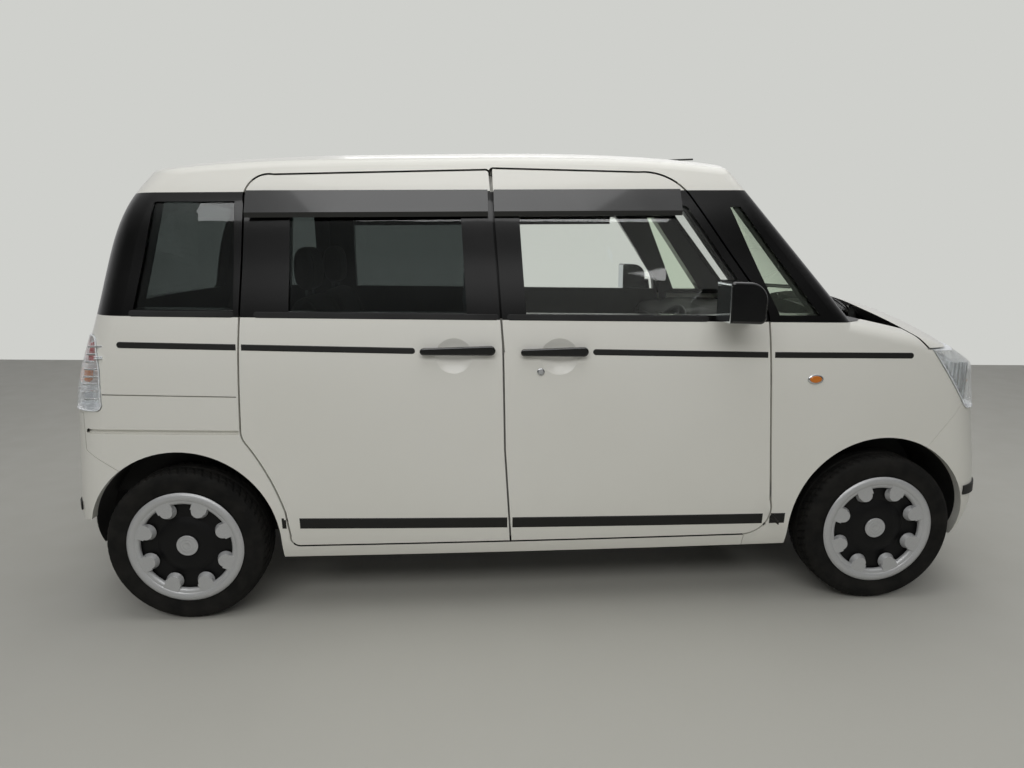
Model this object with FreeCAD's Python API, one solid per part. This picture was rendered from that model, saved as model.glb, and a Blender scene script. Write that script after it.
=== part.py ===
"""Five-door tall-wagon kei car: a hollow unit body with hinged front doors, fixed sliding rear doors, a top-hinged
tailgate, a rear-hinged bonnet, steered front wheels on knuckles, a rear beam axle and a fitted cabin.

Millimetres. +X is forward, +Y is the car's left, +Z is up. The origin is on the ground under the middle of the
car's length. One STEP file is written for each piece.
"""
import FreeCAD
import Part
import math
import os
from FreeCAD import Vector

# ---------------------------------------------------------------- driving sizes
LENGTH = 3395.0            # bumper to bumper
WIDTH = 1475.0             # over the doors, without the mirrors
ROOF_TOP = 1640.0          # crown of the roof above the ground
WHEELBASE = 2455.0
FRONT_OVERHANG = 485.0     # bumper face to the front axle
FRONT_TRACK = 1305.0
REAR_TRACK = 1295.0
TYRE_RADIUS = 274.0
TYRE_WIDTH = 155.0
BEAD_RADIUS = 178.0        # 14 inch wheel
CAP_RADIUS = 199.0         # wheel cover, edge to centre
BODY_BOTTOM = 215.0        # underside of the bumpers and sills
BELT_HEIGHT = 1046.0       # paint to glass line at mid length
BELT_SLOPE = 0.02          # how far the belt line falls per unit forward
GLASS_TOP = 1470.0         # top of the dark window band
SHUT_GAP = 6.5             # between a moving panel and its neighbour
SEAM = 2.0                 # between fixed outer panels
DOOR_THICK = 46.0
WALL_THICK = 84.0          # body side, door recess included
PANEL_THICK = 32.0         # bonnet, wings, bumpers and roof
TAILGATE_THICK = 50.0
GLASS_THICK = 5.0
GLASS_DEPTH = 8.0          # outer face of the side glass behind the paint
GLASS_HOLD = 9.0           # width of glass held in its frame
FIT = 0.3                  # clearance between fitted pieces
RECESS_GAP = 6.0           # behind a closed door
LIP = 38.0                 # flange of the door openings, seen behind the door
ROOF_SEAM = 534.0          # roof panel's edge from the centre line
FLOOR_TOP = 310.0
FLOOR_THICK = 34.0
REAR_FLOOR_TOP = 500.0
ARCH_RADIUS = 327.0        # wheel arch opening in the paint
ARCH_LIFT = 16.0           # arch centre above the wheel centre
LINER_THICK = 5.0
FRONT_WELL_INNER = 405.0   # inner wall of the front wheel wells, from the centre line
REAR_WELL_INNER = 530.0
KINGPIN_LEAN = 12.0        # degrees
KINGPIN_SCRUB = 6.0        # where the kingpin axis meets the ground, inside the tyre's middle

NOSE = LENGTH / 2
TAIL = -LENGTH / 2
SIDE = WIDTH / 2
FRONT_AXLE = NOSE - FRONT_OVERHANG
REAR_AXLE = FRONT_AXLE - WHEELBASE
FAR = 2 * WIDTH            # longer than any cut through the car needs

# Plan outlines of the body, from the sill up.
# height, nose set back, tail set back, side set in, nose corner radius, tail corner radius
BODY_SECTIONS = [
    (BODY_BOTTOM, 34, 30, 40, 150, 110),
    (300, 5, 6, 12, 150, 120),
    (450, 0, 0, 1, 150, 125),
    (650, 30, 20, 0, 155, 125),
    (850, 58, 46, 2, 165, 130),
    (980, 78, 88, 13, 175, 130),
    (1075, 92, 120, 30, 175, 130),
    (1270, 137, 176, 75, 170, 125),
    (GLASS_TOP, 197, 272, 121, 160, 120),
    (ROOF_TOP + 60, 297, 417, 173, 150, 120),
]
NOSE_BOW = 2400.0          # plan radius of the nose
TAIL_BOW = 2500.0          # plan radius of the tail
SIDE_BOW = 45000.0         # plan radius of the sides
# x, drop below the roof's top, radius across the car
ROOF_SECTIONS = [
    (TAIL - 60, 165, 2500),
    (-1400, 58, 2550),
    (-1000, 14, 2600),
    (-400, 0, 2600),
    (200, 2, 2600),
    (600, 28, 2550),
    (1000, 95, 2500),
    (NOSE + 60, 255, 2400),
]
# distance behind the nose, height, radius across the car
BONNET_SECTIONS = [
    (800, 1150, 2600),
    (547, 1098, 2600),
    (347, 1052, 2500),
    (197, 985, 2300),
    (97, 890, 2000),
    (37, 790, 1700),
    (-25, 600, 1500),
]
SCREEN_X = 820.0           # windscreen's middle line at GLASS_TOP
SCREEN_RUN = 0.91          # how far it runs forward per unit down
SCREEN_BOW = 1417.0        # its radius across the car
EDGE_RADIUS = 50.0         # roof, pillar and bonnet edges


# ---------------------------------------------------------------- drawing helpers
def belt(x):
    """Height of the paint to glass line."""
    return BELT_HEIGHT - BELT_SLOPE * x


def box(x0, x1, y0, y1, z0, z1):
    return Part.makeBox(x1 - x0, y1 - y0, z1 - z0, Vector(x0, y0, z0))


def mirrored(shape):
    """The same piece on the other side of the car."""
    return shape.mirror(Vector(0, 0, 0), Vector(0, 1, 0))


def joined(shapes):
    return shapes[0].multiFuse(shapes[1:]).removeSplitter()


def cylinder(radius, start, end):
    start, end = Vector(*start), Vector(*end)
    way = end - start
    return Part.makeCylinder(radius, way.Length, start, way)


def path(steps, place):
    """Closed wire. A step of one point is a line to it, a step of two is an arc through the first to the second."""
    here = steps[0][-1]
    edges = []
    for step in steps[1:] + steps[:1]:
        if len(step) == 1:
            edges.append(Part.makeLine(place(*here), place(*step[0])))
        else:
            edges.append(Part.Arc(place(*here), place(*step[0]), place(*step[1])).toShape())
        here = step[-1]
    return Part.Wire(edges)


def grown(wire, by):
    """The same outline moved out by a distance, or in where it is negative."""
    face = Part.Face(wire)
    if not by:
        return face
    return Part.Face(face.makeOffset2D(by, 0, False, False).Wires[0])


def side_cut(steps, y0, y1, by=0.0):
    """Prism across the car on an outline drawn from the side, as (x, z)."""
    face = grown(path(steps, lambda x, z: Vector(x, y0, z)), by)
    return face.extrude(Vector(0, y1 - y0, 0))


def end_cut(steps, x0, x1, by=0.0):
    """Prism along the car on an outline drawn from the front, as (y, z)."""
    face = grown(path(steps, lambda y, z: Vector(x0, y, z)), by)
    return face.extrude(Vector(x1 - x0, 0, 0))


def meet(centre_a, radius_a, centre_b, radius_b, near):
    """Where two circles cross, at the crossing closest to a point."""
    dx, dy = centre_b[0] - centre_a[0], centre_b[1] - centre_a[1]
    gap = math.hypot(dx, dy)
    along = (radius_a**2 - radius_b**2 + gap**2) / (2 * gap)
    across = math.sqrt(max(radius_a**2 - along**2, 0))
    px, py = centre_a[0] + along * dx / gap, centre_a[1] + along * dy / gap
    both = [(px - k * across * dy / gap, py + k * across * dx / gap) for k in (1, -1)]
    return min(both, key=lambda p: math.dist(p, near))


def toward(centre, radius, point):
    k = radius / math.dist(centre, point)
    return (centre[0] + (point[0] - centre[0]) * k, centre[1] + (point[1] - centre[1]) * k)


def plan_outline(z, front, rear, half, front_corner, rear_corner):
    """Eight arcs that run into each other: nose, right side, tail and left side, with a corner between each pair."""
    nose = (front - NOSE_BOW, 0.0)
    tail = (rear + TAIL_BOW, 0.0)
    right = ((front + rear) / 2, SIDE_BOW - half)
    near = meet(nose, NOSE_BOW - front_corner, right, SIDE_BOW - front_corner, (front, -half))
    back = meet(tail, TAIL_BOW - rear_corner, right, SIDE_BOW - rear_corner, (rear, -half))
    a, b = toward(nose, NOSE_BOW, near), toward(right, SIDE_BOW, near)
    c, d = toward(right, SIDE_BOW, back), toward(tail, TAIL_BOW, back)

    def arc(centre, radius, p, q, side):
        m = toward(centre, radius, ((p[0] + q[0]) / 2, (p[1] + q[1]) / 2))
        return Part.Arc(*(Vector(x, side * y, z) for x, y in (p, m, q))).toShape()

    right_side = [arc(near, front_corner, a, b, 1), arc(right, SIDE_BOW, b, c, 1), arc(back, rear_corner, c, d, 1)]
    left_side = [arc(back, rear_corner, d, c, -1), arc(right, SIDE_BOW, c, b, -1), arc(near, front_corner, b, a, -1)]
    nose_arc = Part.Arc(Vector(a[0], -a[1], z), Vector(front, 0, z), Vector(a[0], a[1], z)).toShape()
    tail_arc = Part.Arc(Vector(d[0], d[1], z), Vector(rear, 0, z), Vector(d[0], -d[1], z)).toShape()
    return Part.Wire([nose_arc] + right_side + [tail_arc] + left_side)


def crowned(sections, low):
    """Solid under a surface that is crowned across the car, from (x, height, radius) sections."""
    half = SIDE + 60
    wires = []
    for x, height, radius in sections:
        edge = height - radius + math.sqrt(radius**2 - half**2)
        steps = [[(-half, low)], [(-half, edge)], [(0, height), (half, edge)], [(half, low)]]
        wires.append(path(steps, lambda y, z, x=x: Vector(x, y, z)))
    return Part.makeLoft(wires, True, False)


def body_form(depth, top=None, edges=True):
    """The whole body's outer form, taken in by some depth all round and by another on its top."""
    top = depth if top is None else top
    plans = []
    for z, nose_back, tail_back, side_in, front_corner, rear_corner in BODY_SECTIONS:
        plans.append(plan_outline(z, NOSE - nose_back - depth, TAIL + tail_back + depth, SIDE - side_in - depth,
                                  max(front_corner - depth, 25), max(rear_corner - depth, 25)))
    sides = Part.makeLoft(plans, True, False)
    roof = crowned([(x, ROOF_TOP - drop - top, radius) for x, drop, radius in ROOF_SECTIONS], -100)
    bonnet = crowned([(NOSE - back, height - top, radius) for back, height, radius in BONNET_SECTIONS], -200)
    slant = math.hypot(1, 1 / SCREEN_RUN)
    screen = crowned([(x, GLASS_TOP + (SCREEN_X - x) / SCREEN_RUN - top * slant, SCREEN_BOW)
                      for x in (TAIL - 60, NOSE + 60)], -2000)
    above = box(TAIL - 60, NOSE + 60, -FAR, FAR, 0, FAR)
    lid = roof.common(screen).common(above).fuse(bonnet.common(above))
    form = sides.common(lid)
    if form.Solids:
        form = form.Solids[0]
    if edges:
        round_over = max(EDGE_RADIUS - top, 8)
        form = form.makeFillet(round_over, top_edges(form))
    return form


def top_edges(form):
    """Every edge where the sides meet the roof, windscreen or bonnet, but not the hollow one at the scuttle."""
    found = []
    for edge in form.Edges:
        b = edge.BoundBox
        upright = b.ZMin < BODY_BOTTOM + 5
        scuttle = b.YLength > 1.2 * SIDE and FRONT_AXLE - 250 < b.XMin and b.XMax < FRONT_AXLE + 50 and b.ZMin > 900
        if not upright and not scuttle:
            found.append(edge)
    return found


# ---------------------------------------------------------------- outlines seen from the side, as (x, z)
DOOR_BOTTOM = 264.0
# Gap between the two doors of one side, from the sill up.
DOOR_LINE = [(-116, DOOR_BOTTOM), (-134, 606), (-137, 967), (-169, GLASS_TOP), (-173, 1530)]
FRONT_DOOR = [[p] for p in DOOR_LINE] + [
    [(-168, 1543), (-155, 1546)],
    [(334, 1532)],
    [(435, 1512), (501, 1457)],
    [(701, 1171)],
    [(752, 1098), (771, 1021)],
    [(785, 765)],
    [(808, 401)],
    [(793, 302), (726, DOOR_BOTTOM)],
]
SLIDING_DOOR = [[p] for p in DOOR_LINE] + [
    [(-178, 1538), (-191, 1541)],
    [(-890, 1528)],
    [(-961, 1506), (-981, 1430)],
    [(-1002, 1066)],
    [(-1008, 962)],
    [(-1020, 695)],
    [(-1017, 663), (-1003, 637)],
    [(-935, 515), (-892, 395)],
    [(-882, 305)],
    [(-872, 272), (-845, DOOR_BOTTOM)],
]
FRONT_DOOR_GLASS = [
    [(-58, belt(-58) + 20)],
    [(-78, 1416)],
    [(-76, 1424), (-68, 1426)],
    [(470, 1420)],
    [(490, 1415), (505, 1398)],
    [(668, 1168)],
    [(700, 1110), (712, belt(712) + 20)],
]
SLIDING_DOOR_GLASS = [
    [(-255, belt(-255) + 20)],
    [(-272, 1426)],
    [(-830, 1426)],
    [(-842, belt(-842) + 20)],
]
FRONT_QUARTER_GLASS = [
    [(640, 1414)],
    [(676, 1414)],
    [(948, belt(948) + 22)],
    [(806, belt(806) + 22)],
]
REAR_QUARTER_GLASS = [
    [(-1022, belt(-1022) + 22)],
    [(-1012, 1440)],
    [(-1262, 1440)],
    [(-1272, 1437), (-1276, 1428)],
    [(-1346, belt(-1346) + 22)],
]
# Sliding door's rail in the rear quarter, and the joint line above it.
RAIL_GROOVE = [
    [(-1026, 674)],
    [(-1026, 689)],
    [(-1520, 700)],
    [(-1534, 694), (-1520, 684)],
]
QUARTER_JOINT = [
    [(-1024, 802)],
    [(-1024, 806)],
    [(-1462, 819)],
    [(-1462, 815)],
]
# Front edge of the rear bumper, from the wheel arch up.
REAR_BUMPER_LINE = [(REAR_AXLE, 440), (-1430, 545), (-1545, 625), (-1543, 752)]
# Rear edge of the front bumper, from the wheel arch up to the lamp.
FRONT_BUMPER_LINE = [(FRONT_AXLE, 470), (1369, 575), (1488, 734)]
LAMP_LINE = [(1488, 734), (1352, 932)]
BONNET_REAR = [(1240, 1200), (1246, 1043), (1340, 932)]
BONNET_SIDE_HEIGHT = 930.0
BONNET_NOSE_HEIGHT = 868.0
LAMP_BOTTOM = 712.0
LAMP_INNER = 425.0         # headlamp's inner end from the centre line
LAMP_PROUD = 6.0           # lamp faces in front of the paint

# ---------------------------------------------------------------- outlines seen from the end, as (y, z)
TAILGATE_TOP = 1545.0
TAILGATE_LIFT = 3.5        # extra gap over the tailgate, for its hinge


def tailgate_outline(lift=0.0):
    top = TAILGATE_TOP + lift
    return TAILGATE + [[(505, 1520), (440, top - 9)], [(0, top), (-440, top - 9)]] + TAILGATE_END


TAILGATE_END = [
    [(-505, 1520), (-520, 1470)],
    [(-590, 1080)],
    [(-598, 850)],
    [(-590, 630)],
    [(-575, 595), (-540, 585)],
]
TAILGATE = [
    [(0, 585)],
    [(540, 585)],
    [(575, 595), (590, 630)],
    [(598, 850)],
    [(590, 1080)],
    [(520, 1470)],
]
TAILGATE_GLASS = [
    [(0, 1092)],
    [(-500, 1092)],
    [(-522, 1098), (-528, 1120)],
    [(-478, 1425)],
    [(-468, 1452), (-440, 1462)],
    [(0, 1475), (440, 1462)],
    [(468, 1452), (478, 1425)],
    [(528, 1120)],
    [(522, 1098), (500, 1092)],
]
WINDSCREEN = [
    [(-628, 985)],
    [(-548, 1440)],
    [(-541, 1462), (-520, 1474)],
    [(0, 1574), (520, 1474)],
    [(541, 1462), (548, 1440)],
    [(628, 985)],
]
COWL_DROP = 58.0           # scuttle below the bonnet's surface
COWL_REAR = 1095.0
COWL_HALF = 600.0


# ---------------------------------------------------------------- forms that the panels are cut from
OUTER = body_form(0)
PANEL_INNER = body_form(PANEL_THICK, edges=False)
DOOR_INNER = body_form(DOOR_THICK, PANEL_THICK, edges=False)
RECESS = body_form(DOOR_THICK + RECESS_GAP, PANEL_THICK + RECESS_GAP, edges=False)
WALL_INNER = body_form(WALL_THICK, PANEL_THICK, edges=False)
GLASS_OUTER = body_form(GLASS_DEPTH, edges=False)
GLASS_INNER = body_form(GLASS_DEPTH + GLASS_THICK, edges=False)
LAMP_OUTER = body_form(-LAMP_PROUD, edges=False)
SKIN = OUTER.cut(PANEL_INNER)
WALL = OUTER.cut(WALL_INNER)
DOOR_SLAB = OUTER.cut(DOOR_INNER)
RECESS_SLAB = OUTER.cut(RECESS)
LAMP_SLAB = LAMP_OUTER.cut(RECESS)
GROOVE_SLAB = OUTER.cut(GLASS_INNER)
GLASS_SLAB = GLASS_OUTER.cut(GLASS_INNER)
ARCH_HEIGHT = TYRE_RADIUS + ARCH_LIFT


def side_region(steps, by=0.0):
    """Right half of the car within an outline drawn from the side."""
    return side_cut(steps, -FAR, 0, by)


def well(axle, inner, radius):
    """Round space of one right-hand wheel, from its inner wall out."""
    return cylinder(radius, (axle, -inner, ARCH_HEIGHT), (axle, -FAR, ARCH_HEIGHT))


def under_well(axle, inner, radius):
    """The same space, open down to the ground."""
    low = box(axle - radius, axle + radius, -FAR, -inner, 0, ARCH_HEIGHT)
    return well(axle, inner, radius).fuse(low)


FRONT_ARCH = under_well(FRONT_AXLE, 0, ARCH_RADIUS)
REAR_ARCH = under_well(REAR_AXLE, 0, ARCH_RADIUS)


# ---------------------------------------------------------------- writing the pieces
os.makedirs("parts", exist_ok=True)


def write(node, *shapes):
    """One STEP file. Pieces that do not touch are kept as separate solids in it."""
    solids = [solid for shape in shapes for solid in shape.Solids]
    piece = solids[0] if len(solids) == 1 else Part.makeCompound(solids)
    piece.exportStep("parts/" + node + ".step")


def both_sides(node, right):
    write(node + "_right", right)
    write(node + "_left", mirrored(right))


# ---------------------------------------------------------------- handles and visors
SCOOP_RADIUS = 59.0        # round hollow behind each handle
SCOOP_DEPTH = 13.0
HANDLE_PROUD = 27.0        # handle's outer face in front of the door
HANDLE_THICK = 14.0
HANDLE_HALF = 16.0         # half its height at the thick end
FRONT_HANDLE = (-78.0, 146.0, 943.0, 52.0)       # rear end, front end, height, scoop
SLIDING_HANDLE = (-411.0, -164.0, 951.0, -302.0)
VISOR_TOP = 1474.0
VISOR_BOTTOM = 1386.0
VISOR_PROUD = 24.0
VISOR_THICK = 3.0


def side_face(z):
    """Roughly how far the side is from the centre line at a height, by straight lines between the sections."""
    for (z0, _, _, in0, _, _), (z1, _, _, in1, _, _) in zip(BODY_SECTIONS, BODY_SECTIONS[1:]):
        if z0 <= z <= z1:
            return SIDE - in0 - (in1 - in0) * (z - z0) / (z1 - z0)
    return SIDE


def scoop(handle):
    """Shallow round hollow that leaves room for the fingers."""
    radius = (SCOOP_RADIUS**2 + SCOOP_DEPTH**2) / (2 * SCOOP_DEPTH)
    centre = Vector(handle[3], -side_face(handle[2]) - radius + SCOOP_DEPTH, handle[2] - 6)
    return Part.makeSphere(radius, centre)


def handle_bar(handle):
    """Pull handle on two feet, thicker at its front."""
    rear, front, z, _ = handle
    face = -side_face(z)
    outline = [
        [(rear + 8, z - 0.7 * HANDLE_HALF)],
        [(rear - 1, z), (rear + 8, z + 0.7 * HANDLE_HALF)],
        [(front - 14, z + HANDLE_HALF)],
        [(front + 1, z), (front - 14, z - HANDLE_HALF)],
    ]
    bar = side_cut(outline, face - HANDLE_PROUD, face - HANDLE_PROUD + HANDLE_THICK)
    bar = bar.makeFillet(5, [e for e in bar.Edges if e.BoundBox.YMax < face - HANDLE_PROUD + 1])
    feet = [box(x - 16, x + 16, face - HANDLE_PROUD + 2, face + 20, z - 10, z + 10) for x in (rear + 26, front - 30)]
    return joined([bar] + feet)


def visor(rear, front_low, front_high):
    """Rain visor along the top of a door: a thin sheet that stands away from the glass at its lower edge."""
    top, low = side_face(VISOR_TOP), side_face(VISOR_BOTTOM)

    def section(x):
        points = [(-top + 12, VISOR_TOP), (-top - 4, VISOR_TOP), (-low - VISOR_PROUD, VISOR_BOTTOM + 16),
                  (-low - VISOR_PROUD + 3, VISOR_BOTTOM), (-low - VISOR_PROUD + 3 + VISOR_THICK, VISOR_BOTTOM),
                  (-low - VISOR_PROUD + VISOR_THICK, VISOR_BOTTOM + 14), (-top + 12, VISOR_TOP - 9)]
        points = [Vector(x, y, z) for y, z in points]
        return Part.Wire(Part.makePolygon(points + points[:1]))

    sheet = Part.makeLoft([section(rear), section(front_high)], True, True)
    slope = side_cut([[(rear - 9, VISOR_BOTTOM - 20)], [(rear - 9, FAR)], [(front_high, FAR)],
                      [(front_high, VISOR_TOP)], [(front_low, VISOR_BOTTOM - 20)]], -FAR, 0)
    return sheet.common(slope)


# ---------------------------------------------------------------- front doors and their hinges
HINGE_X = 768.0            # door hinge axis
HINGE_DEPTH = 17.5         # the axis behind the widest part of the side
HINGE_HEIGHTS = (430.0, 830.0)
HINGE_TALL = 46.0
HINGE_PIN = 3.5
HINGE_ARM = 8.0
HINGE_Y = -(SIDE - HINGE_DEPTH)
HINGE_BOW = HINGE_X**2 / (2 * SIDE_BOW)          # the skin taken in by its own bow there
PIN_FIT = 0.1
PIN_HOLD = 9.0             # how far a pin enters the door above and below its pocket


def hinge_arms():
    """Body half of the door hinges: an arm that reaches the axis, with an upright pin."""
    arms = []
    for z in HINGE_HEIGHTS:
        low, high = z - HINGE_TALL / 2, z + HINGE_TALL / 2
        arm = box(HINGE_X - HINGE_ARM / 2, HINGE_X + HINGE_ARM / 2, HINGE_Y, HINGE_Y + WALL_THICK - 16, low, high)
        barrel = cylinder(HINGE_ARM / 2, (HINGE_X, HINGE_Y, low), (HINGE_X, HINGE_Y, high))
        pin = cylinder(HINGE_PIN, (HINGE_X, HINGE_Y, low - PIN_HOLD), (HINGE_X, HINGE_Y, high + PIN_HOLD))
        arms.append(arm.fuse([barrel, pin]))
    return arms


def hinge_pockets():
    """Room in the door for those arms while it swings."""
    pockets = []
    for z in HINGE_HEIGHTS:
        low, high = z - HINGE_TALL / 2 - FIT, z + HINGE_TALL / 2 + FIT
        wall = HINGE_ARM / 2 + 1
        pockets.append(box(HINGE_X - 2 * wall, HINGE_X + FAR, HINGE_Y - wall, HINGE_Y + FAR, low, high))
        pockets.append(cylinder(HINGE_PIN + PIN_FIT, (HINGE_X, HINGE_Y, low - PIN_HOLD - 1),
                                (HINGE_X, HINGE_Y, high + PIN_HOLD + 1)))
    return pockets


def rear_bevel():
    """Wedge off the door's inner rear edge, so that its leaning top swings clear of the sliding door."""
    wires = []
    for z in (940.0, 1160.0, 1360.0, 1580.0):
        x = -137 - (z - 967) * 32 / 523 + SHUT_GAP / 2
        y = -(SIDE - BEVEL_IN * (z - 940))
        wires.append(Part.makePolygon([Vector(x - 40, y, z), Vector(x, y, z), Vector(x + BEVEL * 80, y + 80, z),
                                       Vector(x - 40, y + 80, z), Vector(x - 40, y, z)]))
    return Part.makeLoft(wires, True, True)


BEVEL = 0.16               # run of that wedge per unit inward
BEVEL_IN = 0.2             # the skin's own lean
front_glass = GLASS_SLAB.common(side_region(FRONT_DOOR_GLASS, GLASS_HOLD))
front_door = DOOR_SLAB.common(side_region(FRONT_DOOR, -SHUT_GAP / 2))
front_door = front_door.cut([side_region(FRONT_DOOR_GLASS), front_glass, scoop(FRONT_HANDLE), rear_bevel()] + hinge_pockets())
both_sides("front_door", front_door)
front_handle = handle_bar(FRONT_HANDLE).cut(front_door).cut(DOOR_INNER)
front_handle = max(front_handle.Solids, key=lambda s: s.Volume)
front_visor = visor(-160, 498, 470).cut(front_door).cut(GLASS_OUTER)
front_visor = max(front_visor.Solids, key=lambda s: s.Volume)
both_sides("front_door_trim", Part.makeCompound([front_handle, front_visor]))
both_sides("front_door_glass", front_glass)

# ---------------------------------------------------------------- sliding doors, which stay shut
SEAL_IN = 12.0             # rubber seal behind the door, inside its edge
SEAL_WIDE = 14.0
sliding_glass = GLASS_SLAB.common(side_region(SLIDING_DOOR_GLASS, GLASS_HOLD))
sliding_door = DOOR_SLAB.common(side_region(SLIDING_DOOR, -SHUT_GAP / 2))
sliding_door = sliding_door.cut([side_region(SLIDING_DOOR_GLASS), sliding_glass, scoop(SLIDING_HANDLE)])
sliding_door = max(sliding_door.Solids, key=lambda s: s.Volume)
both_sides("sliding_door", sliding_door)
write("sliding_door_glass", sliding_glass, mirrored(sliding_glass))
sliding_handle = handle_bar(SLIDING_HANDLE).cut(sliding_door).cut(DOOR_INNER)
sliding_handle = max(sliding_handle.Solids, key=lambda s: s.Volume)
sliding_visor = visor(-972, -180, -180).cut(sliding_door).cut(GLASS_OUTER)
sliding_visor = max(sliding_visor.Solids, key=lambda s: s.Volume)
write("sliding_door_trim", sliding_handle, sliding_visor, mirrored(sliding_handle), mirrored(sliding_visor))
seal_ring = side_region(SLIDING_DOOR, -SEAL_IN).cut(side_region(SLIDING_DOOR, -SEAL_IN - SEAL_WIDE))
door_seal = RECESS_SLAB.cut(DOOR_SLAB).common(seal_ring)
door_seal = max(door_seal.Solids, key=lambda s: s.Volume)
write("sliding_door_seals", door_seal, mirrored(door_seal))

# ---------------------------------------------------------------- tailgate
TAILGATE_DEEP = 560.0      # how far its outline is carried in from the tail
TAIL_HINGE_X = -1376.0
TAIL_HINGE_Y = 110.0
TAIL_HINGE_Z = 1531.5
TAIL_HINGE_THICK = 4.4
TAIL_ARM = 36.0
tail_end = TAIL - 50
tailgate_glass = GLASS_SLAB.common(end_cut(TAILGATE_GLASS, tail_end, TAIL + TAILGATE_DEEP, GLASS_HOLD))
tailgate = OUTER.cut(body_form(TAILGATE_THICK, edges=False))
tailgate = tailgate.common(end_cut(tailgate_outline(), tail_end, TAIL + TAILGATE_DEEP, -SHUT_GAP / 2))
tailgate_pockets = []
tailgate_arms = []
for y in (-TAIL_HINGE_Y, TAIL_HINGE_Y):
    x, z, r, half = TAIL_HINGE_X, TAIL_HINGE_Z, TAIL_HINGE_THICK, TAIL_ARM / 2
    tailgate_pockets.append(box(x - r - 1.2, x + FAR, y - half - FIT, y + half + FIT, z - r - 1.2, z + FAR))
    tailgate_pockets.append(cylinder(3 + PIN_FIT, (x, y - half - 10, z), (x, y + half + 10, z)))
    arm = box(x, x + 66, y - half, y + half, z - r + 0.4, z + r - 0.4)
    tailgate_arms.append(arm.fuse([
        cylinder(r, (x, y - half, z), (x, y + half, z)),
        cylinder(3, (x, y - half - 9, z), (x, y + half + 9, z)),
        box(x + 56, x + 66, y - half, y + half, z - r + 0.4, z + 38),
    ]))
tailgate = tailgate.cut([end_cut(TAILGATE_GLASS, tail_end, TAIL + TAILGATE_DEEP), tailgate_glass] + tailgate_pockets)
write("tailgate", tailgate)
write("tailgate_glass", tailgate_glass)
tailgate_way = end_cut(tailgate_outline(TAILGATE_LIFT), tail_end, TAIL + TAILGATE_DEEP, SHUT_GAP / 2)
tailgate_hole = end_cut(tailgate_outline(), tail_end, TAIL + TAILGATE_DEEP, -LIP)
TAIL_RECESS = OUTER.cut(body_form(TAILGATE_THICK + 2 * RECESS_GAP, edges=False))

# ---------------------------------------------------------------- windscreen
SLANT = math.hypot(1, 1 / SCREEN_RUN)


def screen_surface(depth):
    return crowned([(x, GLASS_TOP + (SCREEN_X - x) / SCREEN_RUN - depth * SLANT, SCREEN_BOW)
                    for x in (TAIL, NOSE)], -FAR)


def bonnet_surface(depth):
    return crowned([(NOSE - back, height - depth, radius) for back, height, radius in BONNET_SECTIONS], -200)


screen_slab = screen_surface(0).cut(screen_surface(GLASS_THICK))
windscreen_way = end_cut(WINDSCREEN, SCREEN_X - 160, NOSE)
cowl_block = bonnet_surface(COWL_DROP).common(box(COWL_REAR, 1238, -COWL_HALF, COWL_HALF, 940, 1200))
windscreen = screen_slab.common(windscreen_way).cut(bonnet_surface(COWL_DROP)).common(OUTER)
write("windscreen", windscreen)
cowl = cowl_block.common(OUTER)

# ---------------------------------------------------------------- roof
roof_block = box(TAIL, NOSE, -ROOF_SEAM, ROOF_SEAM, 1380, FAR)
roof = SKIN.common(roof_block).cut([windscreen_way, tailgate_way])
roof = max(roof.Solids, key=lambda s: s.Volume).fuse(tailgate_arms)
write("roof", roof)

# ---------------------------------------------------------------- body sides
front_opening = side_region(FRONT_DOOR, SHUT_GAP / 2)
slide_opening = side_region(SLIDING_DOOR, SHUT_GAP / 2)
HINGE_REACH = math.hypot(812 - HINGE_X, DOOR_THICK + HINGE_BOW - HINGE_DEPTH) + RECESS_GAP
hinge_swing = cylinder(HINGE_REACH, (HINGE_X, HINGE_Y, 0), (HINGE_X, HINGE_Y, BELT_HEIGHT - 40))

# The side reaches forward to the front door, and above the belt to the windscreen.
side_front = [[(-2 * LENGTH, BODY_BOTTOM - 50)], [(-2 * LENGTH, FAR)], [(NOSE, FAR)], [(NOSE, 1043)], [(1240, 1043)],
              [(1110, belt(1110))], [(771, belt(771))], [(790, 700)], [(812, 401)], [(800, 300)], [(726, DOOR_BOTTOM)],
              [(726, BODY_BOTTOM - 50)]]
behind_bumper = [[(-2 * LENGTH, 0)]] + [[p] for p in REAR_BUMPER_LINE] + [[(-2 * LENGTH, 752)]]
TAIL_LAMP = [
    [(-1490, 760)],
    [(-1472, 768), (-1466, 790)],
    [(-1462, 900)],
    [(-1474, 985)],
    [(-1484, 1006), (-1508, 1010)],
    [(-1760, 1010)],
    [(-1760, 760)],
]
TAIL_LAMP_INNER = 602.0
lamp_block = side_region(TAIL_LAMP).common(box(2 * TAIL, 0, -FAR, -TAIL_LAMP_INNER, 0, FAR))

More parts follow.
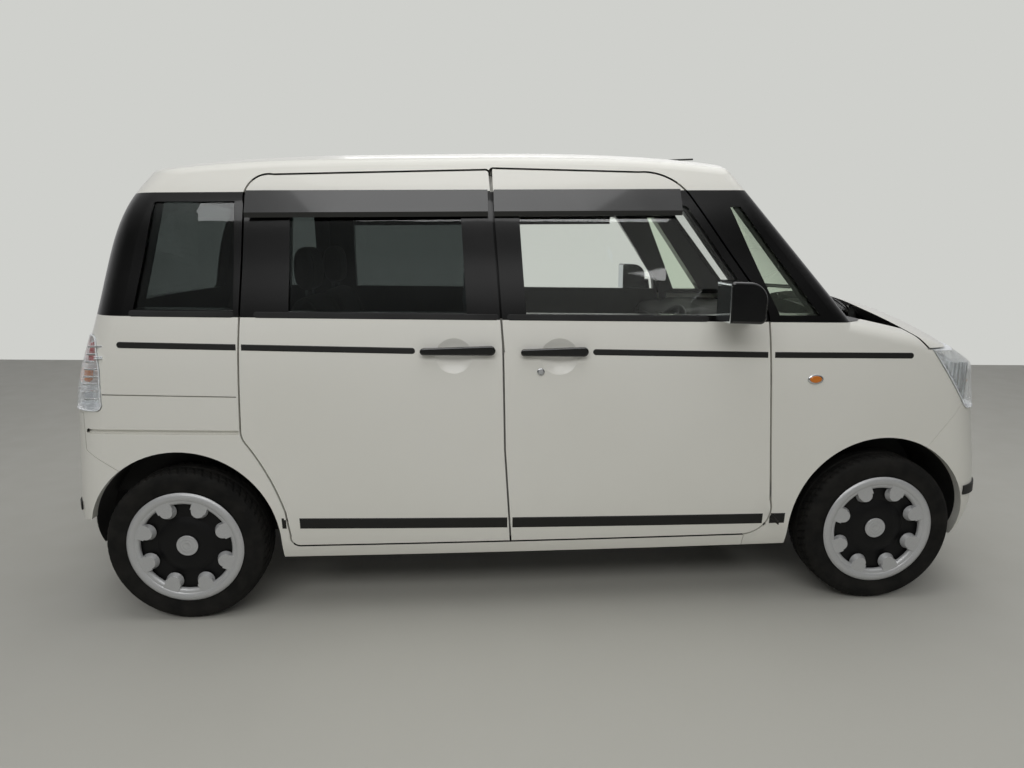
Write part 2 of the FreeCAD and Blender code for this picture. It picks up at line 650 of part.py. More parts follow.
side = WALL.common(box(2 * TAIL, 2 * NOSE, -FAR, -ROOF_SEAM - SEAM, 0, FAR)).common(side_region(side_front, -SEAM / 2))
quarter_front = GLASS_SLAB.common(side_region(FRONT_QUARTER_GLASS, GLASS_HOLD))
quarter_rear = GLASS_SLAB.common(side_region(REAR_QUARTER_GLASS, GLASS_HOLD))
side_cuts = [
    windscreen_way,
    side_region(behind_bumper, SEAM),
    tailgate_hole,
    TAIL_RECESS.common(tailgate_way),
    RECESS_SLAB.common(front_opening),
    RECESS_SLAB.common(slide_opening),
    side_region(FRONT_DOOR, -LIP),
    side_region(SLIDING_DOOR, -LIP),
    hinge_swing.common(front_opening),
    REAR_ARCH,
    FRONT_ARCH,
    lamp_block,
    side_region(FRONT_QUARTER_GLASS),
    side_region(REAR_QUARTER_GLASS),
    quarter_front,
    quarter_rear,
    GROOVE_SLAB.common(side_region(RAIL_GROOVE)),
    GROOVE_SLAB.common(side_region(QUARTER_JOINT)),
]
for tool in side_cuts:
    side = side.cut(tool)
side = max(side.Solids, key=lambda s: s.Volume)
side = side.fuse(hinge_arms())
both_sides("body_side", side)
write("front_quarter_glass", quarter_front, mirrored(quarter_front))
write("rear_quarter_glass", quarter_rear, mirrored(quarter_rear))

# ---------------------------------------------------------------- bonnet
BONNET_RAMP = 60.0
bonnet_edge = [
    [(0, BONNET_NOSE_HEIGHT)],
    [(-LAMP_INNER + BONNET_RAMP, BONNET_NOSE_HEIGHT)],
    [(-LAMP_INNER + 0.4 * BONNET_RAMP, BONNET_NOSE_HEIGHT + 25), (-LAMP_INNER, BONNET_SIDE_HEIGHT)],
    [(-SIDE - 50, BONNET_SIDE_HEIGHT)],
    [(-SIDE - 50, 1300)],
    [(SIDE + 50, 1300)],
    [(SIDE + 50, BONNET_SIDE_HEIGHT)],
    [(LAMP_INNER, BONNET_SIDE_HEIGHT)],
    [(LAMP_INNER - 0.4 * BONNET_RAMP, BONNET_NOSE_HEIGHT + 25), (LAMP_INNER - BONNET_RAMP, BONNET_NOSE_HEIGHT)],
]
bonnet_side = [[p] for p in BONNET_REAR] + [[(1340, 0)], [(NOSE + 100, 0)], [(NOSE + 100, 1200)]]
bonnet_way = end_cut(bonnet_edge, 1100, NOSE + 50, SHUT_GAP / 2)
bonnet_way = bonnet_way.common(side_cut(bonnet_side, -FAR, FAR, SHUT_GAP / 2))
bonnet_form = end_cut(bonnet_edge, 1100, NOSE + 50, -SHUT_GAP / 2)
bonnet_form = bonnet_form.common(side_cut(bonnet_side, -FAR, FAR, -SHUT_GAP / 2))
BONNET_HINGE_X = 1262.0
BONNET_HINGE_Y = 330.0
BONNET_HINGE_DEPTH = 10.0
BONNET_HINGE_Z = 1098 - 0.215 * (BONNET_HINGE_X - (NOSE - 547)) - BONNET_HINGE_Y**2 / 5160 - BONNET_HINGE_DEPTH
BONNET_ARM = 40.0
bonnet_pockets = []
bonnet_arms = []
for y in (-BONNET_HINGE_Y, BONNET_HINGE_Y):
    half = BONNET_ARM / 2
    x, z, r = BONNET_HINGE_X, BONNET_HINGE_Z, 5.0
    bonnet_pockets.append(box(x - FAR, x + r + 2, y - half - FIT, y + half + FIT, z - FAR, z + r + 1))
    bonnet_pockets.append(cylinder(4 + PIN_FIT, (x, y - half - 10, z), (x, y + half + 10, z)))
    arm = box(x - r, x + r, y - half, y + half, 990, z)
    arm = arm.fuse([cylinder(r, (x, y - half, z), (x, y + half, z)),
                    cylinder(4, (x, y - half - 9, z), (x, y + half + 9, z)),
                    box(1230, x + r, y - half, y + half, 985, 995)])
    bonnet_arms.append(arm)
bonnet = SKIN.common(bonnet_form).cut(bonnet_pockets)
bonnet = max(bonnet.Solids, key=lambda s: s.Volume)
write("bonnet", bonnet)
write("cowl", cowl.fuse(bonnet_arms))

# ---------------------------------------------------------------- lamps, wings and bumpers
HEADLAMP = [
    [(1352, BONNET_SIDE_HEIGHT)],
    [(1488, 734)],
    [(1505, 716), (1530, LAMP_BOTTOM)],
    [(NOSE + 80, LAMP_BOTTOM)],
    [(NOSE + 80, BONNET_SIDE_HEIGHT)],
]
lamp_end = [
    [(-LAMP_INNER, 800)],
    [(-LAMP_INNER - 15, LAMP_BOTTOM + 25), (-LAMP_INNER - 60, LAMP_BOTTOM)],
    [(-SIDE - 50, LAMP_BOTTOM)],
    [(-SIDE - 50, BONNET_SIDE_HEIGHT)],
    [(-LAMP_INNER, BONNET_SIDE_HEIGHT)],
]
lamp_way = end_cut(lamp_end, 1200, NOSE + 80).common(side_region(HEADLAMP))
lamp_form = end_cut(lamp_end, 1200, NOSE + 80, -SEAM / 2).common(side_region(HEADLAMP, -SEAM / 2))
headlamp = LAMP_SLAB.common(lamp_form).cut(bonnet_way)
write("headlamps", headlamp, mirrored(headlamp))
tail_lamp = LAMP_SLAB.common(side_region(TAIL_LAMP, -SEAM)).common(
    box(2 * TAIL, 0, -FAR, -TAIL_LAMP_INNER - SEAM, 0, FAR))
tail_lamp = max(tail_lamp.Solids, key=lambda s: s.Volume)
lamp_pegs = [cylinder(5, (-1476, -706, z), (-1450, -706, z)).cut(side) for z in (830, 940)]
tail_lamp = tail_lamp.fuse(lamp_pegs)
write("tail_lamps", tail_lamp, mirrored(tail_lamp))

wing_region = [[(726, BODY_BOTTOM - 50)], [(726, DOOR_BOTTOM)], [(800, 300)], [(812, 401)], [(790, 700)],
               [(771, belt(771))], [(1110, belt(1110))], [(1240, 1043)], [(1340, BONNET_SIDE_HEIGHT)],
               [(1352, BONNET_SIDE_HEIGHT)]] + [[p] for p in reversed(FRONT_BUMPER_LINE)] + [
               [(FRONT_AXLE, BODY_BOTTOM - 50)]]
wing = SKIN.common(side_region(wing_region, -SEAM / 2))
wing = wing.cut([front_opening, FRONT_ARCH, bonnet_way, windscreen_way, lamp_way,
                 box(0, NOSE, -COWL_HALF, FAR, 0, FAR)])
wing = max(wing.Solids, key=lambda s: s.Volume)
both_sides("front_wing", wing)

GRILLE = [
    [(0, 330)],
    [(-380, 330)],
    [(-415, 340), (-425, 370)],
    [(-395, 520)],
    [(-380, 545), (-350, 550)],
    [(350, 550)],
    [(380, 545), (395, 520)],
    [(425, 370)],
    [(415, 340), (380, 330)],
]
UPPER_GRILLE = [
    [(0, 742)],
    [(-360, 742)],
    [(-385, 765), (-360, 788)],
    [(360, 788)],
    [(385, 765), (360, 742)],
]
front_region = [[p] for p in FRONT_BUMPER_LINE] + [
    [(1488, BONNET_SIDE_HEIGHT + 20)], [(NOSE + 50, BONNET_SIDE_HEIGHT + 20)], [(NOSE + 50, 0)], [(FRONT_AXLE, 0)]]
bumper = SKIN.common(side_cut(front_region, -FAR, FAR))
grille_way = end_cut(GRILLE, 1500, NOSE + 50)
upper_way = end_cut(UPPER_GRILLE, 1500, NOSE + 50)
bumper = bumper.cut([FRONT_ARCH, mirrored(FRONT_ARCH), bonnet_way, lamp_way, mirrored(lamp_way), grille_way,
                     upper_way])
bumper = max(bumper.Solids, key=lambda s: s.Volume)
rear_region = [[(2 * TAIL, 0)]] + [[p] for p in REAR_BUMPER_LINE] + [[(2 * TAIL, 752)]]
rear_bumper = SKIN.common(side_cut(rear_region, -FAR, FAR))
rear_bumper = rear_bumper.cut([REAR_ARCH, mirrored(REAR_ARCH), tailgate_way, lamp_block, mirrored(lamp_block)])
rear_bumper = max(rear_bumper.Solids, key=lambda s: s.Volume)

# Dark corner strips of both bumpers, and the fog lamp bezels.
CORNER_STRIP = 10.0
strip_face = LAMP_OUTER.cut(PANEL_INNER)
front_strip_way = side_cut([[(1530, 392)], [(1530, 425)], [(NOSE + 60, 432)], [(NOSE + 60, 388)]], -FAR, -470)
fog_way = cylinder(48, (1400, -560, 520), (NOSE + 60, -560, 520))
rear_strip_way = side_cut([[(2 * TAIL, 395)], [(2 * TAIL, 440)], [(-1602, 430)], [(-1602, 400)]], -FAR, -440)
front_trim = [strip_face.common(front_strip_way), strip_face.common(fog_way)]
rear_trim = [strip_face.common(rear_strip_way)]
bumper_trims = [max(t.Solids, key=lambda s: s.Volume) for t in front_trim + rear_trim]
bumper = bumper.cut([front_strip_way, fog_way, mirrored(front_strip_way), mirrored(fog_way)])
bumper = max(bumper.Solids, key=lambda s: s.Volume)
write("front_bumper", bumper)
rear_bumper = rear_bumper.cut([rear_strip_way, mirrored(rear_strip_way)])
rear_bumper = max(rear_bumper.Solids, key=lambda s: s.Volume)
write("rear_bumper", rear_bumper)
write("bumper_trim", *bumper_trims, *[mirrored(t) for t in bumper_trims])

# The lower grille is a frame of slats, and the upper one a single bar behind its slot.
SLAT = 9.0
SLAT_PITCH = 36.0
grille_face = body_form(10, edges=False).cut(PANEL_INNER)
slats = [box(1500, NOSE, -FAR, FAR, 330 + k * SLAT_PITCH, 330 + k * SLAT_PITCH + SLAT) for k in range(1, 6)]
slats += [box(1500, NOSE, y - SLAT / 2, y + SLAT / 2, 330, 550) for y in (-280, -140, 0, 140, 280)]
grille_bars = grille_face.common(grille_way).common(joined(slats))
grille_bar = grille_face.common(upper_way)
write("grille", *[s for s in grille_bars.Solids if s.Volume > 1e4], grille_bar)


# ---------------------------------------------------------------- floor, bulkhead and wheel wells
BULKHEAD_X = 905.0
BULKHEAD_THICK = 18.0
REAR_STEP_X = -860.0
REAR_FLOOR_END = -1650.0
LOAD_BOARD = 8.0           # raised board of the luggage floor
FRONT_WELL = under_well(FRONT_AXLE, FRONT_WELL_INNER, ARCH_RADIUS + LINER_THICK)
REAR_WELL = under_well(REAR_AXLE, REAR_WELL_INNER, ARCH_RADIUS + LINER_THICK)
floor = joined([
    box(REAR_STEP_X, BULKHEAD_X + BULKHEAD_THICK, -FAR, FAR, FLOOR_TOP - FLOOR_THICK, FLOOR_TOP),
    box(REAR_STEP_X - FLOOR_THICK, REAR_STEP_X, -FAR, FAR, FLOOR_TOP - FLOOR_THICK, REAR_FLOOR_TOP),
    box(REAR_FLOOR_END, REAR_STEP_X, -FAR, FAR, REAR_FLOOR_TOP - FLOOR_THICK, REAR_FLOOR_TOP),
    box(REAR_FLOOR_END, REAR_FLOOR_END + FLOOR_THICK, -FAR, FAR, BODY_BOTTOM + 90, 560),
    box(BULKHEAD_X, BULKHEAD_X + BULKHEAD_THICK, -FAR, FAR, FLOOR_TOP - FLOOR_THICK, 985),
    box(-1540, -1090, -430, 430, REAR_FLOOR_TOP, REAR_FLOOR_TOP + LOAD_BOARD),
])
inside = WALL_INNER.common(box(REAR_FLOOR_END, BULKHEAD_X + BULKHEAD_THICK, -FAR, FAR, 0, 1000))
floor = floor.common(inside.fuse(PANEL_INNER.common(box(REAR_FLOOR_END, -1600, -560, 560, 0, 600))))
floor = floor.cut([FRONT_WELL, mirrored(FRONT_WELL), REAR_WELL, mirrored(REAR_WELL)])
floor = max(floor.Solids, key=lambda s: s.Volume)
write("floor_pan", floor)


# ---------------------------------------------------------------- wheels
# Half section of the tyre: radius, distance from its middle plane
tyre_half = TYRE_WIDTH / 2
SHOULDER = TYRE_RADIUS - 9
WHEEL_OFFSET = 40.0        # hub face outboard of the tyre's middle
DISC_THICK = 5.0
RIM_HALF = 62.0
COVER_FACE = RIM_HALF + 8
LUGS = 8
LUG_RADIUS = 27.0          # half width of a lug's rounded inner end
LUG_REACH = 121.0          # lug's inner end from the centre
RING_INNER = 156.0
CAP_CENTRE = 34.0


def turned(steps, centre):
    """Solid turned about a wheel's axis from an outline of (radius, outboard)."""
    x, y, z = centre
    wire = path(steps, lambda r, out: Vector(x, y - out, z + r))
    return Part.Face(wire).revolve(Vector(x, y, z), Vector(0, 1, 0), 360)


def tyre(centre):
    return turned([
        [(BEAD_RADIUS, -RIM_HALF + 12)],
        [(BEAD_RADIUS + 26, -RIM_HALF - 4)],
        [(230, -tyre_half), (SHOULDER - 12, -tyre_half + 8)],
        [(SHOULDER, -tyre_half + 13), (SHOULDER + 5, -tyre_half + 22)],
        [(TYRE_RADIUS, 0), (SHOULDER + 5, tyre_half - 22)],
        [(SHOULDER, tyre_half - 13), (SHOULDER - 12, tyre_half - 8)],
        [(230, tyre_half), (BEAD_RADIUS + 26, RIM_HALF + 4)],
        [(BEAD_RADIUS, RIM_HALF - 12)],
    ], centre)


def rim(centre):
    """Steel wheel's barrel and disc, with the bright cover ring and its inward lugs."""
    x, y, z = centre
    barrel = turned([
        [(BEAD_RADIUS, -RIM_HALF - 5)],
        [(BEAD_RADIUS + 9, -RIM_HALF - 7)],
        [(BEAD_RADIUS + 9, -RIM_HALF - 10)],
        [(BEAD_RADIUS - 5, -RIM_HALF - 8)],
        [(BEAD_RADIUS - 5, -30)],
        [(BEAD_RADIUS - 20, -10)],
        [(BEAD_RADIUS - 20, 20)],
        [(100, WHEEL_OFFSET)],
        [(HUB_BORE, WHEEL_OFFSET)],
        [(HUB_BORE, WHEEL_OFFSET + DISC_THICK)],
        [(104, WHEEL_OFFSET + DISC_THICK)],
        [(BEAD_RADIUS - 16, 26)],
        [(BEAD_RADIUS - 5, 40)],
        [(BEAD_RADIUS - 5, RIM_HALF - 3)],
        [(BEAD_RADIUS, RIM_HALF - 3)],
    ], centre)
    face = COVER_FACE
    ring = turned([
        [(RING_INNER, face - 10)],
        [(RING_INNER + 3, face + 1), (RING_INNER + 14, face + 5)],
        [(CAP_RADIUS - 16, face + 10), (CAP_RADIUS, face + 3)],
        [(CAP_RADIUS - 4, face - 2)],
        [(BEAD_RADIUS - 5.5, face - 6)],
        [(BEAD_RADIUS - 5.5, face - 20)],
    ], centre)
    lugs = []
    for k in range(LUGS):
        turn = 2 * math.pi * (k + 0.5) / LUGS
        ux, uz = math.cos(turn), math.sin(turn)
        inner = (x + ux * (LUG_REACH + LUG_RADIUS * 0.7), y - face + 12, z + uz * (LUG_REACH + LUG_RADIUS * 0.7))
        lug = Part.makeCone(LUG_RADIUS + 3, LUG_RADIUS - 5, 18, Vector(*inner), Vector(0, -1, 0))
        block = Part.makeBox(40, 18, 2 * LUG_RADIUS, Vector(0, -18, -LUG_RADIUS))
        block.Placement = FreeCAD.Placement(Vector(*inner), FreeCAD.Rotation(Vector(0, 1, 0), -math.degrees(turn)))
        lugs += [lug, block]
    return barrel, joined([ring] + lugs)


HUB_BORE = 28.0


def dish(centre):
    """Dark dish of the cover, behind the lugs, with its raised middle and plain cap."""
    face = COVER_FACE
    return turned([
        [(0, face - 12)],
        [(CAP_CENTRE, face - 12)],
        [(CAP_CENTRE + 4, face - 15)],
        [(72, face - 12), (92, face - 17)],
        [(104, face - 21)],
        [(LUG_REACH + 44, face - 18)],
        [(LUG_REACH + 44, face - 20.5)],
        [(100, WHEEL_OFFSET + DISC_THICK + FIT)],
        [(0, WHEEL_OFFSET + DISC_THICK + FIT)],
    ], centre)


FRONT_HUB = (FRONT_AXLE, -FRONT_TRACK / 2, TYRE_RADIUS)
REAR_HUB = (REAR_AXLE, -REAR_TRACK / 2, TYRE_RADIUS)
for where, hub in (("front", FRONT_HUB), ("rear", REAR_HUB)):
    both_sides(where + "_tyre", tyre(hub))
    barrel, ring = rim(hub)
    wheel = barrel.fuse(ring)
    dark = dish(hub).cut(ring)
    both_sides(where + "_wheel", wheel)
    both_sides(where + "_wheel_dish", max(dark.Solids, key=lambda s: s.Volume))

# ---------------------------------------------------------------- knuckles, struts and arms
lean = math.radians(KINGPIN_LEAN)
KINGPIN = Vector(0, math.sin(lean), math.cos(lean))
kingpin_foot = Vector(FRONT_AXLE, -FRONT_TRACK / 2 + KINGPIN_SCRUB, 0)


def on_kingpin(height):
    return kingpin_foot + KINGPIN * (height / math.cos(lean))


def kingpin_rod(radius, low, high):
    start = on_kingpin(low)
    return Part.makeCylinder(radius, (on_kingpin(high) - start).Length, start, KINGPIN)


HUB_RADIUS = 27.9
BALL_LOW = 178.0
KNUCKLE_TOP = 420.0
hub_y = -FRONT_TRACK / 2
hub = Vector(*FRONT_HUB)
knuckle = joined([
    kingpin_rod(24, BALL_LOW, KNUCKLE_TOP),
    cylinder(34, (FRONT_AXLE, on_kingpin(TYRE_RADIUS).y, TYRE_RADIUS), (FRONT_AXLE, hub_y + 14, TYRE_RADIUS)),
    cylinder(84, (FRONT_AXLE, hub_y + 26, TYRE_RADIUS), (FRONT_AXLE, hub_y + 14, TYRE_RADIUS)),
    cylinder(68, (FRONT_AXLE, hub_y + 14, TYRE_RADIUS), (FRONT_AXLE, hub_y - WHEEL_OFFSET + FIT, TYRE_RADIUS)),
    cylinder(HUB_RADIUS, (FRONT_AXLE, hub_y, TYRE_RADIUS), (FRONT_AXLE, hub_y - WHEEL_OFFSET - DISC_THICK, TYRE_RADIUS)),
])
both_sides("knuckle", knuckle)
TOWER_TOP = 800.0
strut = joined([kingpin_rod(22, KNUCKLE_TOP + FIT, TOWER_TOP - 20), kingpin_rod(58, 600, 612),
                kingpin_rod(48, 612, TOWER_TOP - 20), kingpin_rod(70, TOWER_TOP - 20, TOWER_TOP)])
low_end = on_kingpin(BALL_LOW)
arm = joined([
    kingpin_rod(26, BALL_LOW - 34, BALL_LOW - FIT),
    cylinder(14, (FRONT_AXLE, low_end.y + 10, BALL_LOW - 24), (FRONT_AXLE, -300, 215)),
    cylinder(13, (FRONT_AXLE, low_end.y + 20, BALL_LOW - 24), (FRONT_AXLE - 180, -320, 215)),
])
SUBFRAME_Z = 200.0
subframe = joined([
    box(FRONT_AXLE - 200, FRONT_AXLE + 60, -330, 330, SUBFRAME_Z, SUBFRAME_Z + 45),
    box(BULKHEAD_X + BULKHEAD_THICK, FRONT_AXLE + 380, -385, -345, 300, 390),
    box(BULKHEAD_X + BULKHEAD_THICK, FRONT_AXLE + 380, 345, 385, 300, 390),
    box(FRONT_AXLE - 60, FRONT_AXLE + 20, -385, -300, SUBFRAME_Z, 320),
    box(FRONT_AXLE - 60, FRONT_AXLE + 20, 300, 385, SUBFRAME_Z, 320),
    box(FRONT_AXLE + 340, FRONT_AXLE + 380, -385, 385, 300, 390),
])
tower = box(FRONT_AXLE - 90, FRONT_AXLE + 90, -FRONT_WELL_INNER, -385, 340, TOWER_TOP + 10)
tower_cap = box(FRONT_AXLE - 90, FRONT_AXLE + 90, -540, -385, TOWER_TOP, TOWER_TOP + 10)
frame = joined([subframe, tower, tower_cap, mirrored(tower), mirrored(tower_cap)])
front_suspension = joined([frame, strut, arm, mirrored(strut), mirrored(arm)])
front_suspension = front_suspension.cut([cylinder(30, (FRONT_AXLE, -FAR, 0), (FRONT_AXLE, -FAR + 1, 0))])
write("front_suspension", front_suspension)

# ---------------------------------------------------------------- rear axle
REAR_BEAM_X = REAR_AXLE + 150
hub_end = -REAR_TRACK / 2
trailing = joined([
    cylinder(22, (REAR_AXLE, -515, TYRE_RADIUS), (REAR_AXLE + 300, -480, 292)),
    cylinder(30, (REAR_AXLE + 300, -512, 292), (REAR_AXLE + 300, -448, 292)),
    cylinder(34, (REAR_AXLE, -500, TYRE_RADIUS), (REAR_AXLE, hub_end + 26, TYRE_RADIUS)),
    cylinder(108, (REAR_AXLE, hub_end + 26, TYRE_RADIUS), (REAR_AXLE, hub_end + 10, TYRE_RADIUS)),
    cylinder(68, (REAR_AXLE, hub_end + 10, TYRE_RADIUS), (REAR_AXLE, hub_end - WHEEL_OFFSET + FIT, TYRE_RADIUS)),
    cylinder(HUB_RADIUS, (REAR_AXLE, hub_end, TYRE_RADIUS), (REAR_AXLE, hub_end - WHEEL_OFFSET - DISC_THICK, TYRE_RADIUS)),
    cylinder(20, (REAR_AXLE - 60, -505, TYRE_RADIUS - 20), (REAR_AXLE - 110, -500, REAR_FLOOR_TOP - FLOOR_THICK)),
    cylinder(24, (REAR_AXLE, -505, TYRE_RADIUS), (REAR_AXLE - 70, -505, TYRE_RADIUS - 20)),
    cylinder(48, (REAR_AXLE + 60, -470, TYRE_RADIUS + 10), (REAR_AXLE + 60, -470, REAR_FLOOR_TOP - FLOOR_THICK)),
    box(REAR_AXLE + 270, REAR_AXLE + 330, -500, -460, 292, REAR_FLOOR_TOP - FLOOR_THICK),
])
beam = cylinder(42, (REAR_BEAM_X, -495, 284), (REAR_BEAM_X, 495, 284))
rear_axle = joined([beam, trailing, mirrored(trailing)]).cut(floor)
rear_axle = max(rear_axle.Solids, key=lambda s: s.Volume)
write("rear_axle", rear_axle)

# ---------------------------------------------------------------- wheel wells
STRUT_CLEAR = 66.0


def liner(axle, inner, x0, x1):
    """Wheel well: a curved roof over the tyre, closed on its inner side."""
    shell = under_well(axle, inner, ARCH_RADIUS + LINER_THICK).cut(
        under_well(axle, inner + LINER_THICK, ARCH_RADIUS))
    return shell.common(PANEL_INNER).common(box(x0, x1, -FAR, 0, BODY_BOTTOM + 40, FAR))


front_liner = liner(FRONT_AXLE, FRONT_WELL_INNER, 820, 1580)
rear_liner = liner(REAR_AXLE, REAR_WELL_INNER, -1590, -880)
front_liner = front_liner.cut(box(FRONT_AXLE - 130, FRONT_AXLE + 130, -FRONT_WELL_INNER - 1.2 * LINER_THICK, 0, 0, 420))
rear_liner = rear_liner.cut(box(REAR_AXLE - 340, REAR_AXLE + 110, -REAR_WELL_INNER - 1.2 * LINER_THICK, 0, 0, 420))
front_liner = front_liner.cut([side, kingpin_rod(STRUT_CLEAR, 500, TOWER_TOP)])
rear_liner = rear_liner.cut([side, rear_axle])
write("wheel_wells", *[max(w.Solids, key=lambda s: s.Volume) for w in (
    front_liner, mirrored(front_liner), rear_liner, mirrored(rear_liner))])

# ---------------------------------------------------------------- engine, radiator, tank and exhaust
ENGINE = (985, 1395, -330, 300, 300, 800)
write("engine_block", box(*ENGINE).cut([frame]))
write("radiator", box(1556, 1590, -340, 340, 390, 690).fuse(box(1546, 1590, -385, 385, 690, 720)))
write("fuel_tank", box(-820, -330, -420, 330, 205, FLOOR_TOP - FLOOR_THICK))
PIPE = 22.0
SILENCER = 72.0
PIPE_Y = 400.0
pipe_run = [(ENGINE[0], 60, 340), (948, 60, 340), (948, 60, 246), (840, 60, 242), (-200, PIPE_Y, 242), (-860, PIPE_Y, 242),
            (-960, PIPE_Y, 205), (-1230, PIPE_Y, 205), (-1400, PIPE_Y, 310), (-1450, PIPE_Y, 320)]
exhaust = joined([cylinder(PIPE, p, q) for p, q in zip(pipe_run, pipe_run[1:])]
                 + [Part.makeSphere(PIPE, Vector(*p)) for p in pipe_run[1:-1]]
                 + [cylinder(SILENCER, (-1430, PIPE_Y, 330), (-1600, PIPE_Y, 330)),
                    box(-1530, -1510, PIPE_Y - 10, PIPE_Y + 10, 330, REAR_FLOOR_TOP - FLOOR_THICK)])
write("exhaust", exhaust)


# ---------------------------------------------------------------- seats
SEAT = [
    [(-250, FLOOR_TOP + 55)],
    [(280, FLOOR_TOP + 55)],
    [(318, FLOOR_TOP + 60), (330, FLOOR_TOP + 120)],
    [(330, 545)],
    [(325, 590), (280, 597)],
    [(-130, 560)],
    [(-250, 1080)],
    [(-262, 1112), (-290, 1115)],
    [(-345, 1105), (-356, 1060)],
    [(-330, 700)],
    [(-290, 480)],
]
HEADREST = [
    [(-300, 1116)],
    [(-285, 1116)],
    [(-262, 1140), (-262, 1190)],
    [(-268, 1290), (-305, 1300)],
    [(-345, 1290), (-350, 1190)],
    [(-345, 1140), (-325, 1116)],
]
FRONT_SEAT_X = 120.0
FRONT_SEAT_Y = 345.0
SEAT_HALF = 235.0
REAR_SEAT_X = -560.0
REAR_SEAT_HALF = 255.0


def seat(x, y, half, rest_half=125.0):
    """Bucket seat on its rails, facing forward."""
    def shifted(steps):
        return [[(px + x, pz) for px, pz in step] for step in steps]

    cushion = side_cut(shifted(SEAT), y - half, y + half)
    rest = side_cut(shifted(HEADREST), y - rest_half, y + rest_half)
    rails = [box(x - 240, x + 270, y + k * half * 0.8 - 22, y + k * half * 0.8 + 22, FLOOR_TOP, FLOOR_TOP + 60)
             for k in (-1, 1)]
    posts = [cylinder(7, (x - 308, y + k * 60, 1080), (x - 308, y + k * 60, 1140)) for k in (-1, 1)]
    return joined([cushion, rest] + rails + posts)


write("front_seats", seat(FRONT_SEAT_X, -FRONT_SEAT_Y, SEAT_HALF), seat(FRONT_SEAT_X, FRONT_SEAT_Y, SEAT_HALF))
write("rear_seats", seat(REAR_SEAT_X, -REAR_SEAT_HALF - 3, REAR_SEAT_HALF), seat(REAR_SEAT_X, REAR_SEAT_HALF + 3,
                                                                               REAR_SEAT_HALF))

# ---------------------------------------------------------------- dashboard and steering wheel
DRIVER_Y = -FRONT_SEAT_Y
WHEEL_CENTRE = Vector(470, DRIVER_Y, 905)
COLUMN_LEAN = math.radians(56)
COLUMN = Vector(-math.sin(COLUMN_LEAN), 0, math.cos(COLUMN_LEAN))
STEER_RADIUS = 182.0
DASH = [
    [(BULKHEAD_X, 560)],
    [(800, 555)],
    [(700, 600), (660, 700)],
    [(628, 880)],
    [(620, 960), (672, 990)],
    [(800, 1008)],
    [(1080, 1000)],
    [(1080, 985)],
    [(BULKHEAD_X, 985)],
]
dash = side_cut(DASH, -FAR, FAR).common(PANEL_INNER)
dash = dash.common(box(0, NOSE, -640, 640, 0, 1100)).cut(screen_surface(0).cut(screen_surface(GLASS_THICK)))
dash = dash.cut(box(0, NOSE, -FAR, FAR, 0, FAR).cut(screen_surface(GLASS_THICK)))
dash = dash.cut([side, mirrored(side), bonnet_surface(COWL_DROP).common(box(COWL_REAR, NOSE, -FAR, FAR, 0, FAR))])
dash = max(dash.Solids, key=lambda s: s.Volume)
shaft_start = WHEEL_CENTRE - COLUMN * 45
shroud = Part.makeCylinder(42, 190, WHEEL_CENTRE - COLUMN * 235, COLUMN)
centre_screen = box(612, 640, -120, 120, 830, 985)
dash = joined([dash, shroud, centre_screen])
write("dashboard", dash)
wheel_axis_frame = FreeCAD.Placement(WHEEL_CENTRE, FreeCAD.Rotation(Vector(0, 0, 1), COLUMN))
rim_ring = Part.makeTorus(STEER_RADIUS - 15, 15)
hub_pad = Part.makeCylinder(72, 34, Vector(0, 0, -40))
spokes = []
for turn in (90, 180, 270):
    spoke = Part.makeBox(STEER_RADIUS - 60, 34, 12, Vector(50, -17, -22))
    spoke.rotate(Vector(0, 0, 0), Vector(0, 0, 1), turn)
    spokes.append(spoke)
boss = Part.makeCylinder(30, 8, Vector(0, 0, -45 + FIT))
steering_wheel = joined([rim_ring, hub_pad, boss] + spokes)
steering_wheel.Placement = wheel_axis_frame
write("steering_wheel", steering_wheel)

# ---------------------------------------------------------------- door mirrors, roof aerial
MIRROR = [
    [(568, 1048)],
    [(664, 1044)],
    [(680, 1050), (685, 1068)],
    [(686, 1102)],
    [(674, 1152), (630, 1176)],
    [(582, 1178)],
    [(571, 1174), (568, 1162)],
]
MIRROR_OUT = 890.0
mirror_glass_side = side_cut(MIRROR, -MIRROR_OUT, -SIDE - 22)
mirror_body = mirror_glass_side.makeFillet(9, [e for e in mirror_glass_side.Edges if e.BoundBox.YMin < -MIRROR_OUT + 1
                                                and e.BoundBox.YLength < 1])
stalk = side_cut([[(628, belt(628) + 18)], [(700, belt(700) + 18)], [(690, 1100)], [(640, 1100)]], -SIDE - 30, -SIDE + 60)
door_mirror = mirror_body.fuse(stalk).cut([front_door, front_glass, DOOR_INNER]).removeSplitter()
both_sides("door_mirror", max(door_mirror.Solids, key=lambda s: s.Volume))

AERIAL_X = 470.0
AERIAL_LONG = 225.0
roof_at_aerial = ROOF_TOP - 18
aerial = joined([
    Part.makeCone(26, 15, 16, Vector(AERIAL_X, 0, roof_at_aerial - 4), Vector(0, 0, 1)),
    cylinder(3.5, (AERIAL_X, 0, roof_at_aerial + 6), (AERIAL_X + AERIAL_LONG, 0, roof_at_aerial + 14)),
]).cut(roof)
write("aerial", max(aerial.Solids, key=lambda s: s.Volume))


